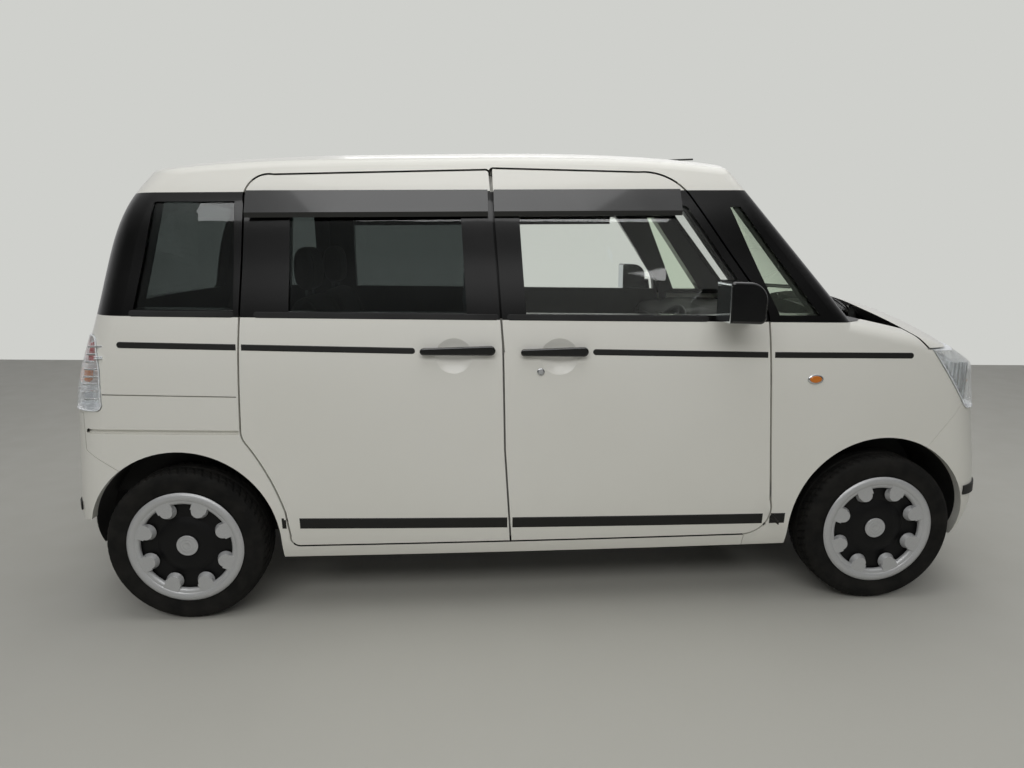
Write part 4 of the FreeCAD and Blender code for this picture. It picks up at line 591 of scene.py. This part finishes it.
# Half section of the cap with its two rings: radius, and distance past its face
CAP_OUTLINE = [(0, -.004), (.030, -.004), (.0365, -.001), (.0370, .0015), (.0355, .003), (.0335, .0032), (.0320, .0018),
               (.0300, .0018), (.0230, .0022), (.0215, .0034), (.0200, .0022), (.0140, .0026), (.0128, .0036),
               (.0115, .0026), (0, .003)]
for end, side, centre in WHEELS:
    cap = turned_piece(f"{end}_centre_cap_{side}", centre, np.array(CAP_OUTLINE) + (0, CAP_OUT), wheel_silver, side)
    ride(cap, f"{end}_wheel_{side}")


# ---------------------------------------------------------------- shared forms
def rounded_box(name, centre, half, radius, material, lean=0.0):
    """Box with round edges: a sphere's grid is moved out by the box's half sizes less the radius, and leaned
    about Y."""
    fine = 5
    lat = np.concatenate([np.linspace(-np.pi / 2, 0, fine), np.linspace(0, np.pi / 2, fine)])[:, None]
    lon = np.concatenate([np.linspace(0, np.pi / 2, fine) + q * np.pi / 2 for q in range(4)])[None, :]
    quarter = np.repeat([[1, 1], [-1, 1], [-1, -1], [1, -1]], fine, axis=0)
    core = np.asarray(half) - radius
    rows = np.stack([radius * np.cos(lat) * np.cos(lon) + core[0] * quarter[None, :, 0],
                     radius * np.cos(lat) * np.sin(lon) + core[1] * quarter[None, :, 1],
                     radius * np.sin(lat) + core[2] * np.sign(np.arange(2 * fine)[:, None] - fine + 0.5)
                     + 0 * lon], -1)
    rows = np.concatenate([0 * rows[:1] + [0, 0, -half[2]], rows, 0 * rows[:1] + [0, 0, half[2]]])
    turned = rows.copy()
    turned[..., 0] = rows[..., 0] * math.cos(lean) + rows[..., 2] * math.sin(lean)
    turned[..., 2] = rows[..., 2] * math.cos(lean) - rows[..., 0] * math.sin(lean)
    return grid_piece(name, turned + np.asarray(centre), material, ring=True, closed=True)


def tube(name, points, radius, material, count, up=(0, 0, 1)):
    """Round bar along a smooth line through a few points."""
    return grid_piece(name, swept(blend_line(points, count), round_section(radius, 14), up), material, ring=True,
                      closed=True)


def laid_disc(name, spot, radii, thick, panel, material, axis, push):
    """Flat oval pressed onto a panel along an axis: its points are rings about the spot, squeezed to the two
    radii."""
    rings, around = 5, 40
    turn = np.linspace(0, 2 * np.pi, around, endpoint=False)[None, :]
    reach = np.linspace(0, 1, rings)[:, None]
    rows = np.empty((rings, around, 3))
    flat = [k for k in range(3) if k != axis]
    rows[..., axis] = spot[axis]
    rows[..., flat[0]] = spot[flat[0]] + radii[0] * reach * np.cos(turn)
    rows[..., flat[1]] = spot[flat[1]] + radii[1] * reach * np.sin(turn)
    if (push > 0) == (axis == 1):
        rows = rows[:, ::-1]
    made = grid_piece(name, rows, material, ring=True)
    laid(made, panel, axis, push, DISC_RISE)
    applied(made)
    shape = bmesh.new()
    shape.from_mesh(made.data)
    bmesh.ops.remove_doubles(shape, verts=shape.verts, dist=1e-6)
    bmesh.ops.recalc_face_normals(shape, faces=shape.faces)
    shape.to_mesh(made.data)
    shape.free()
    _, normals = faces_of(made.data)
    if normals[:, axis].mean() * push > 0:
        made.data.flip_normals()
    return walled(made, thick, 1.0)


def lamp_shell(node, name, way, squarely, material, thick):
    """Copy of a lamp node's faces that look along a way, or of the others when squarely is negative, with a wall."""
    mesh = nodes[node].data
    points = np.empty(len(mesh.vertices) * 3, np.float32)
    corners = np.empty(len(mesh.loops), np.int32)
    mesh.vertices.foreach_get("co", points)
    mesh.loops.foreach_get("vertex_index", corners)
    points, corners = points.reshape(-1, 3), corners.reshape(-1, 3)
    middles, normals = faces_of(mesh)
    looks = (normals * unit(np.asarray(way, float))).sum(axis=1) > abs(squarely)
    keep = (looks if squarely > 0 else ~looks) & (np.sign(middles[:, 1]) == np.sign(way[1]))
    fresh = bpy.data.meshes.new(name)
    fresh.from_pydata(points, [], corners[keep].tolist())
    shape = bmesh.new()
    shape.from_mesh(fresh)
    bmesh.ops.delete(shape, geom=[v for v in shape.verts if not v.link_faces], context="VERTS")
    bmesh.ops.remove_doubles(shape, verts=shape.verts, dist=2e-5)
    shape.to_mesh(fresh)
    shape.free()
    fresh.polygons.foreach_set("use_smooth", np.full(len(fresh.polygons), squarely > 0))
    fresh.materials.append(material)
    made = bpy.data.objects.new(name, fresh)
    bpy.context.scene.collection.objects.link(made)
    return walled(made, thick)


# ---------------------------------------------------------------- headlamps and tail lamps
def bowl(name, spot, ahead, radius, deep, material):
    """Reflector: a parabola turned about the way it faces, with a rolled lip."""
    ahead = unit(np.asarray(ahead, float))
    right = unit(np.cross(ahead, [0, 0, 1.0]))
    up = np.cross(right, ahead)
    reach = np.linspace(0, 1, 14)
    outline = np.concatenate([np.stack([reach * radius, deep * (reach ** 2 - 1)], 1),
                              [[radius + .003, .001], [radius + .004, -.003], [radius * .6, -.64 * deep - .006],
                               [0, -deep - .004]]])
    turn = np.linspace(0, 2 * np.pi, 40, endpoint=False)[None, :, None]
    rows = (np.asarray(spot) + outline[:, None, :1] * (np.cos(turn) * right + np.sin(turn) * up)
            + outline[:, None, 1:] * ahead)
    return grid_piece(name, rows, material, ring=True, closed=True)


HEADLAMP_LOOK = (0.70, 0.66, 0.28)
TAIL_LAMP_LOOK = (-0.72, 0.68, 0.12)
for side, sign in SIDES.items():
    look = (HEADLAMP_LOOK[0], sign * HEADLAMP_LOOK[1], HEADLAMP_LOOK[2])
    back = (TAIL_LAMP_LOOK[0], sign * TAIL_LAMP_LOOK[1], TAIL_LAMP_LOOK[2])
    made = [
        lamp_shell("headlamps", "headlamp_lens_" + side, look, 0.5, lens_clear, 0.003),
        lamp_shell("headlamps", "headlamp_housing_" + side, look, -0.5, lamp_silver, 0.002),
        bowl("headlamp_main_bowl_" + side, (1.545, sign * .520, .800), (1, sign * .12, 0), .058, .050, reflector),
        bowl("headlamp_turn_bowl_" + side, (1.515, sign * .620, .800), (.85, sign * .5, 0), .036, .035, reflector),
        rounded_box("headlamp_bulb_" + side, (1.522, sign * .519, .800), (.018, .008, .008), .007, lens_clear),
        rounded_box("headlamp_turn_bulb_" + side, (1.500, sign * .613, .800), (.014, .008, .008), .007, lamp_amber),
    ]
    # Bright upright ribs of the lamp's inner side wall
    for k, x in enumerate(np.linspace(1.425, 1.535, 7)):
        y = HALF_WIDTH - .050 - 1.9 * max(x - 1.43, 0) ** 1.6
        made.append(rounded_box(f"headlamp_rib_{k}_{side}", (x, sign * y, .815 - .30 * (x - 1.48)),
                                (.0035, .004, .062 + .20 * (x - 1.48)), .003, chrome))
    for piece in made:
        ride(piece, "root")
        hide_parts("headlamps")
    made = [
        lamp_shell("tail_lamps", "tail_lamp_lens_" + side, back, 0.5, lens_clear, 0.003),
        lamp_shell("tail_lamps", "tail_lamp_housing_" + side, back, -0.5, lamp_silver, 0.002),
    ]
    for label, (x, y, z), half, radius, material, lean in (
            ("stop", (-1.512, .636, .950), (.011, .014, .034), .009, lamp_red, .28),
            ("turn", (-1.536, .640, .872), (.011, .014, .024), .009, lamp_amber, .2),
            ("reverse", (-1.546, .652, .806), (.010, .026, .022), .008, reflector, 0)):
        made.append(rounded_box(f"tail_lamp_{label}_cap_{side}", (x, sign * y, z), half, radius, material, lean))
    for k, z in enumerate(np.linspace(.800, .975, 8)):
        made.append(rounded_box(f"tail_lamp_rib_{k}_{side}", (-1.503 + .28 * max(z - .86, 0), sign * .692, z),
                                (.028, .004, .0035), .003, chrome))
    for piece in made:
        ride(piece, "root")
        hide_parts("tail_lamps")


# ---------------------------------------------------------------- seats
CUSHION = [(-.240, .378), (.100, .374), (.290, .378), (.321, .430), (.324, .540), (.285, .592), (.100, .577),
           (-.100, .560), (-.215, .556), (-.258, .470)]
BACKREST = [(-.138, .568), (-.160, .690), (-.205, .890), (-.247, 1.065), (-.285, 1.108), (-.335, 1.096), (-.351, 1.040),
            (-.331, .800), (-.316, .620), (-.285, .520), (-.220, .500), (-.160, .520)]
HEADREST = [(-.300, 1.122), (-.272, 1.140), (-.264, 1.200), (-.272, 1.268), (-.305, 1.294), (-.338, 1.270),
            (-.345, 1.200), (-.336, 1.142)]


END_POWER, END_ROOT = 7, 3.2       # how late and how roundly a pad draws in at its ends
BOLSTER_AT, BOLSTER_WIDE = .80, .13   # shares of the half width
CROWN = .004                       # metres that the middle stands above the ends
SEAM_DEEP, SEAM_WIDE = .007, .022
CHANNEL_DEEP, CHANNEL_WIDE, CHANNEL_END = .006, .007, .58


def pad(name, outline, x, y, half, front, bolster, seams, channels=()):
    """Stuffed form: the side outline is carried across and drawn in at its ends by a superellipse, its middle
    crowns, its wings swell towards the sitter, and sewn seams and channels sink into it as narrow bells."""
    outline = smooth_loop(outline)
    middle = outline.mean(axis=0)
    ahead = unit(np.roll(outline, -1, axis=0) - np.roll(outline, 1, axis=0))
    outward = np.stack([ahead[:, 1], -ahead[:, 0]], axis=1)
    if ((outline - middle) * outward).sum() < 0:
        outward = -outward
    faced = np.clip(outward @ unit(np.asarray(front, float)), 0, 1)
    v = np.sin(np.linspace(-np.pi / 2, np.pi / 2, 73))
    scale = (1 - np.abs(v) ** END_POWER) ** (1 / END_ROOT)
    lift = bolster * np.exp(-((np.abs(v) - BOLSTER_AT) / BOLSTER_WIDE) ** 2) - CROWN * (v ** 2)
    for seam in seams:
        lift = lift - SEAM_DEEP * np.exp(-((np.abs(v) - seam) / SEAM_WIDE) ** 2)
    along = (outline - middle) @ np.array([-front[1], front[0]])
    sunk = np.zeros(len(outline))
    for channel in channels:
        sunk = sunk + CHANNEL_DEEP * np.exp(-((along - channel) / CHANNEL_WIDE) ** 2)
    sunk = sunk[None, :] * np.clip((CHANNEL_END - np.abs(v)[:, None]) / .04, 0, 1)
    rise = faced[None, :] * (lift[:, None] - sunk)
    rows = np.empty((len(v), len(outline), 3))
    drawn = middle + (outline[None] - middle) * scale[:, None, None] + rise[..., None] * outward[None]
    rows[..., 0] = x + drawn[..., 0]
    rows[..., 1] = y + half * v[:, None]
    rows[..., 2] = drawn[..., 1]
    made = grid_piece(name, rows, seat_cloth, ring=True, closed=True)
    ride(made, "root")
    return made


SEATS = [("driver", "front_seats", .120, WHEEL_Y, .232), ("passenger", "front_seats", .120, -WHEEL_Y, .232),
         ("rear_right", "rear_seats", -.560, -.258, .250), ("rear_left", "rear_seats", -.560, .258, .250)]
for name, node, x, y, half in SEATS:
    made = [
        pad(name + "_cushion", CUSHION, x, y, half, (.08, 1.0), .010, (.60,), (-.16, -.02, .12)),
        pad(name + "_backrest", BACKREST, x, y, half, (.98, .20), .012, (.60,), (-.17, -.02, .13)),
        pad(name + "_headrest", HEADREST, x, y, .125, (1.0, 0.0), 0.0, (.72,)),
    ]
    for k in (-1, 1):
        made.append(tube(f"{name}_headrest_post_{k + 1}", [(x - .308, y + k * .06, 1.07), (x - .308, y + k * .06, 1.10),
                                                         (x - .306, y + k * .06, 1.15)], .0065, chrome, 8, (0, 1, 0)))
        made.append(rounded_box(f"{name}_rail_{k + 1}", (x + .015, y + k * half * .8, .340), (.250, .020, .029), .006,
                                chassis_steel))
    made.append(rounded_box(name + "_recliner", (x - .205, y + math.copysign(half * .985, y), .500), (.045, .006, .038),
                            .005, grained_black))
    for piece in made[3:]:
        ride(piece)
    for piece in made:
        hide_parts(node)


# ---------------------------------------------------------------- dust film on the driver's seat
FILM_THICK = 0.0003
# Side outline round the seat: x ahead of the seat's middle, and height
FILM_OUTLINE = [(-.128, .640), (-.150, .760), (-.168, .900), (-.196, 1.050), (-.228, 1.130), (-.236, 1.220),
                (-.256, 1.296), (-.305, 1.322), (-.352, 1.296), (-.366, 1.200), (-.372, 1.080), (-.362, .900),
                (-.350, .740)]


def film():
    """Bag over the driver's backrest and headrest: a sheet round their side outline, stood off by folds that are sums
    of slanting waves, deeper towards its open foot."""
    x, y = SEATS[0][2], SEATS[0][3]
    line = blend_line(FILM_OUTLINE, 130)
    v = np.linspace(-1, 1, 90)[None, :]
    u = np.linspace(-1, 1, 130)[:, None]
    wide = np.interp(np.abs(u[:, 0]), [0, .22, .42, 1.0], [.150, .165, .238, .246])[:, None]
    out = unit(np.stack([np.gradient(line[:, 1]), -np.gradient(line[:, 0])], axis=1))
    out = out * np.sign(((line - line.mean(axis=0)) * out).sum())
    folds = (np.sin(9 * v + 14 * u + 2.2 * np.sin(5 * u)) + .8 * np.sin(17 * v - 11 * u + 1.3) +
             .5 * np.sin(31 * v + 23 * u + 2 * np.sin(7 * v)) + .35 * np.sin(53 * v - 37 * u))
    stand = .004 + .0042 * (folds + 2.6) * (0.6 + 0.7 * np.abs(u))
    round_off = .10 * (1 - np.sqrt(np.maximum(1 - np.abs(v) ** 6, 0))) * np.sign(line[:, :1] - (-.27))
    rows = np.stack([x + line[:, :1] + out[:, :1] * stand - .35 * round_off, y + wide * v + .004 * folds,
                     line[:, 1:] + out[:, 1:] * stand + 0 * v], axis=-1)
    made = walled(grid_piece("driver_seat_dust_film", rows, dust_film), FILM_THICK)
    ride(made, "root")


film()

# ---------------------------------------------------------------- cabin fittings
FITTINGS = [
    # name, place, half size, edge radius, material, lean, body, on both sides
    ("front_armrest", (.130, .664, .800), (.230, .020, .022), .016, lining, .04, "front_door", True),
    ("front_door_pull", (.300, .668, .868), (.070, .014, .014), .010, grained_black, .05, "front_door", True),
    ("front_window_switches", (.260, .662, .826), (.052, .012, .005), .004, black_gloss, .04, "front_door", True),
    ("front_inner_handle", (.430, .678, .905), (.045, .008, .014), .006, chrome, .06, "front_door", True),
    ("sliding_armrest", (-.600, .664, .760), (.200, .020, .020), .015, lining, 0, "root", True),
    ("sliding_inner_handle", (-.300, .678, .870), (.040, .008, .014), .006, chrome, 0, "root", True),
    ("sun_visor", (.600, .300, 1.525), (.075, .175, .009), .008, headliner, .52, "root", True),
    ("instrument_hood", (.650, -.345, 1.010), (.060, .150, .022), .018, grained_black, -.12, "root", False),
    ("instrument_dial_panel", (.626, -.345, .985), (.004, .125, .034), .003, display_blue, -.5, "root", False),
    ("centre_display_bezel", (.607, 0, .908), (.008, .118, .074), .006, black_gloss, -.06, "root", False),
    ("centre_display", (.5995, 0, .915), (.0022, .102, .056), .002, display_blue, -.06, "root", False),
    ("climate_panel", (.622, 0, .780), (.010, .110, .030), .007, black_gloss, 0, "root", False),
    ("gear_lever_gate", (.606, -.165, .800), (.012, .036, .052), .008, grained_black, 0, "root", False),
    ("gear_lever", (.560, -.165, .822), (.046, .010, .010), .008, chrome, -.30, "root", False),
    ("gear_knob", (.508, -.165, .840), (.026, .022, .020), .018, black_gloss, -.30, "root", False),
    ("glovebox_lid", (.634, .350, .760), (.006, .190, .085), .005, lining, -.02, "root", False),
    ("dash_shelf", (.650, .340, .950), (.040, .200, .006), .005, grained_black, 0, "root", False),
]
for name, (x, y, z), half, radius, material, lean, body, twice in FITTINGS:
    for side, sign in SIDES.items():
        if twice or side == "left":
            made = rounded_box(f"{name}_{side}" if twice else name, (x, sign * y, z), half, radius, material, lean)
            ride(made, body_on(body, side))
for y in (-.575, -.165, .165, .575):
    for k in range(4):
        made = rounded_box(f"air_vent_slat_{k}_{int(y * 1000)}", (.614, y, .905 + .016 * k), (.008, .040, .0025), .002,
                           grained_black, .3)
        ride(made)
# Grab handle: distance ahead of its middle, distance from the car's middle, height
GRAB_HANDLE = [(-.085, .566, 1.478), (-.078, .545, 1.452), (0, .538, 1.444), (.078, .545, 1.452), (.085, .566, 1.478)]
for side, sign in SIDES.items():
    for k, x in enumerate((.18, -.62)):
        ride(tube(f"grab_handle_{k}_{side}", [(x + dx, sign * y, z) for dx, y, z in GRAB_HANDLE], .009, headliner, 40))
    # Column stalk
    ride(tube("column_stalk_" + side, [(.545, WHEEL_Y + sign * .030, .895), (.530, WHEEL_Y + sign * .090, .905),
                                       (.512, WHEEL_Y + sign * .150, .915)], .007, grained_black, 20))


# ---------------------------------------------------------------- windscreen edge, wipers and belt seals
SCREEN_BOW = 1.417         # radius of the bow across the car
SCREEN_X, SCREEN_Z = .820, 1.470   # the outer face at the middle of its upper part
SCREEN_RUN = .91           # metres forward per metre down
SCREEN_OUT = (.740, .673)  # the way it faces, forward and up


def screen_spot(y, z, out):
    """Points on the windscreen's outer face, out metres in front of it: a leaning plane that falls away to both
    sides as a circle does."""
    drop = SCREEN_BOW - np.sqrt(SCREEN_BOW ** 2 - y ** 2)
    x = SCREEN_X + SCREEN_RUN * (SCREEN_Z - z - drop)
    return np.stack([x + SCREEN_OUT[0] * out + 0 * y, y, z + SCREEN_OUT[1] * out + 0 * y], axis=-1)


# Edge of the glass from the right foot to the middle of the top, y and height
half_edge = np.array([(-.622, .992), (-.600, 1.130), (-.572, 1.290), (-.545, 1.436), (-.520, 1.466), (-.40, 1.510),
                      (-.2, 1.550), (0, 1.563)])
edge = blend_line(np.concatenate([half_edge, half_edge[-2::-1] * (-1, 1)]), 160)
inner = edge + unit(np.array([0, 1.20]) - edge) * np.array([.040, .050])
part = np.linspace(0, 1, 5)[None, :, None]
border = edge[:, None] * (1 - part) + inner[:, None] * part
made = grid_piece("windscreen_black_border", screen_spot(border[..., 0], border[..., 1], -.0068), black_gloss)
ride(walled(made, .0004))

for name, pivot, blade_in, blade_out in (("driver", (-.120, 1.030), (-.060, 1.098), (-.600, 1.052)),
                                         ("passenger", (.420, 1.020), (.480, 1.078), (.030, 1.092))):
    blade = np.linspace(blade_in, blade_out, 24)
    squeegee = screen_spot(blade[:, 0], blade[:, 1], .007)
    frame_line = screen_spot(blade[:, 0], blade[:, 1], .015)
    hub = screen_spot(np.array([pivot[0]]), np.array([pivot[1]]), .016)[0]
    middle = frame_line[12]
    for label, rows in (("wiper_blade", swept(squeegee, box_section(.0035, .006, .4), (1, 0, .5))),
                        ("wiper_frame", swept(frame_line, box_section(.006, .003, .5), (1, 0, .5))),
                        ("wiper_arm", swept(blend_line([hub, .6 * hub + .4 * middle + (.010, 0, .012), middle], 30),
                                            box_section(.009, .004, .5), (1, 0, .5), np.linspace(1.2, .6, 30)))):
        ride(grid_piece(f"{label}_{name}", rows, grained_black, ring=True, closed=True))
    ride(rounded_box("wiper_boss_" + name, hub + (-.006, 0, -.008), (.011, .012, .009), .007, grained_black))

# Middle of the seals below the side glass
SEAL_LINE = np.array([(-1.6, BELT_HEIGHT + 1.6 * BELT_SLOPE + .009), (1.3, BELT_HEIGHT - 1.3 * BELT_SLOPE + .009)])
for side, sign in SIDES.items():
    for name, start, end, panel, body in (("sliding_door", -.955, -.150, "sliding_door", "root"),
                                          ("front_door", -.122, .560, "front_door", "front_door"),
                                          ("rear_quarter", -1.36, -1.02, "body_side", "root")):
        rows = line_strip(SEAL_LINE, .010, start, end, True, True, side)
        made = grid_piece(f"belt_seal_{name}_{side}", rows, seal_rubber)
        pressed(made, f"{panel}_{side}", -sign, thick=.0035)
        ride(made, body_on(body, side))

# ---------------------------------------------------------------- small pieces outside
for side, sign in SIDES.items():
    for name, radii, thick, material in (("side_marker_ring", (.027, .0165), .0035, chrome),
                                         ("side_marker_lens", (.021, .0115), .0060, lamp_amber)):
        ride(laid_disc(f"{name}_{side}", (.937, sign * OUTSIDE, .833), radii, thick, "front_wing_" + side, material, 1,
                       -sign), "root")
    ride(laid_disc("rear_reflector_" + side, (-1.76, sign * .560, .470), (.045, .016), .004, "rear_bumper", lamp_red,
                   0, 1.0), "root")
for name, radii, thick, material in (("lock_escutcheon", (.0125, .0125), .0025, chrome),
                                     ("lock_barrel", (.0085, .0085), .0036, wheel_silver)):
    ride(laid_disc("door_" + name, (-.011, -OUTSIDE, .875), radii, thick, "front_door_right", material, 1, 1.0),
         "front_door_right")


# ---------------------------------------------------------------- view, light and floor
def set_view():
    """Eye that is turned by yaw, pitch and roll from square to the side."""
    yaw, pitch, roll = (math.radians(a) for a in (VIEW_YAW, VIEW_PITCH, VIEW_ROLL))
    forward = Vector((math.sin(yaw) * math.cos(pitch), math.cos(yaw) * math.cos(pitch), -math.sin(pitch)))
    right = Vector((math.cos(yaw), -math.sin(yaw), 0))
    up = right.cross(forward)
    side = right * math.cos(roll) + up * math.sin(roll)
    head = up * math.cos(roll) - right * math.sin(roll)
    eye = bpy.data.cameras.new("eye")
    eye.lens = VIEW_LENS
    eye.sensor_width = 36
    seen_from = bpy.data.objects.new("eye", eye)
    turned = Matrix((side, head, -forward)).transposed().to_4x4()
    seen_from.matrix_world = Matrix.Translation(VIEW_FROM) @ turned
    bpy.context.scene.collection.objects.link(seen_from)
    bpy.context.scene.camera = seen_from


def set_light():
    """Pale room behind the car, for gloss a room that is dim on the near side, a soft fill, and three large
    panels."""
    world = bpy.data.worlds.new("studio")
    bpy.context.scene.world = world
    world.use_nodes = True
    tree = world.node_tree
    tree.nodes.clear()
    ray = add(tree, "LightPath")
    seen = add(tree, "Math", {"operation": "MAXIMUM"},
               {0: ray.outputs["Is Camera Ray"], 1: ray.outputs["Is Transmission Ray"]})
    way = add(tree, "SeparateXYZ", links={"Vector": add(tree, "TexCoord").outputs["Generated"]})
    wall = add(tree, "MapRange", {"From Min": -0.3, "From Max": 0.5, "To Min": 0.07, "To Max": 0.55},
               {0: way.outputs["Y"]})
    above = add(tree, "MapRange", {"From Min": 0.30, "From Max": 0.85, "To Min": 0.0, "To Max": 0.85},
                {0: way.outputs["Z"]})
    bright = add(tree, "Math", {"operation": "MAXIMUM"}, {0: wall.outputs[0], 1: above.outputs[0]})
    fill = add(tree, "Background", {"Color": linear("#FFFFFF"), "Strength": 0.22})
    gloss = add(tree, "Background", {"Color": linear("#FFFFFF")}, {"Strength": bright.outputs[0]})
    room = add(tree, "Background", {"Color": linear("#CFD0CC"), "Strength": 1.0})
    lit = add(tree, "MixShader", links={0: ray.outputs["Is Glossy Ray"], 1: fill.outputs[0], 2: gloss.outputs[0]})
    both = add(tree, "MixShader", links={0: seen.outputs[0], 1: lit.outputs[0], 2: room.outputs[0]})
    add(tree, "OutputWorld", links={"Surface": both.outputs[0]})
    # name, place, aimed at, size across and along, watts
    for name, spot, aim, size, power in (
            ("ceiling", (0.3, -0.4, 4.2), (0, 0, 0.8), (5.0, 3.2), 72),
            ("near_side", (-0.6, -5.2, 4.2), (0, 0, 0.7), (5.5, 1.6), 100),
            ("far_side", (0.8, 5.2, 4.0), (0, 0, 0.7), (5.5, 1.6), 40)):
        lamp = bpy.data.lights.new(name, "AREA")
        lamp.shape = "RECTANGLE"
        lamp.size, lamp.size_y = size
        lamp.energy = power
        panel = bpy.data.objects.new(name, lamp)
        panel.location = spot
        panel.rotation_euler = (Vector(aim) - Vector(spot)).to_track_quat("-Z", "Y").to_euler()
        bpy.context.scene.collection.objects.link(panel)


set_view()
set_light()
# Sealed pale floor, which ends where the far wall starts.
FLOOR_NEAR, FAR_EDGE, FAR_TURN = -9, 4.50, 0.12   # its ends at mid length, and the slope of the far one
floor_finish = roughened(finish("sealed_pale_floor", "#BFBEB6", IOR=1.45), 0.01, 0.0001, 0.45, 0.6)
sheet_x, sheet_y = np.meshgrid(np.linspace(-16, 16, 9), np.linspace(0, 1, 7), indexing="ij")
sheet_y = FLOOR_NEAR + sheet_y * (FAR_EDGE - FAR_TURN * sheet_x - FLOOR_NEAR)
ground = grid_piece("floor", np.stack([sheet_x, sheet_y, 0 * sheet_x], axis=-1), floor_finish)
bpy.context.scene.view_settings.view_transform = "Standard"
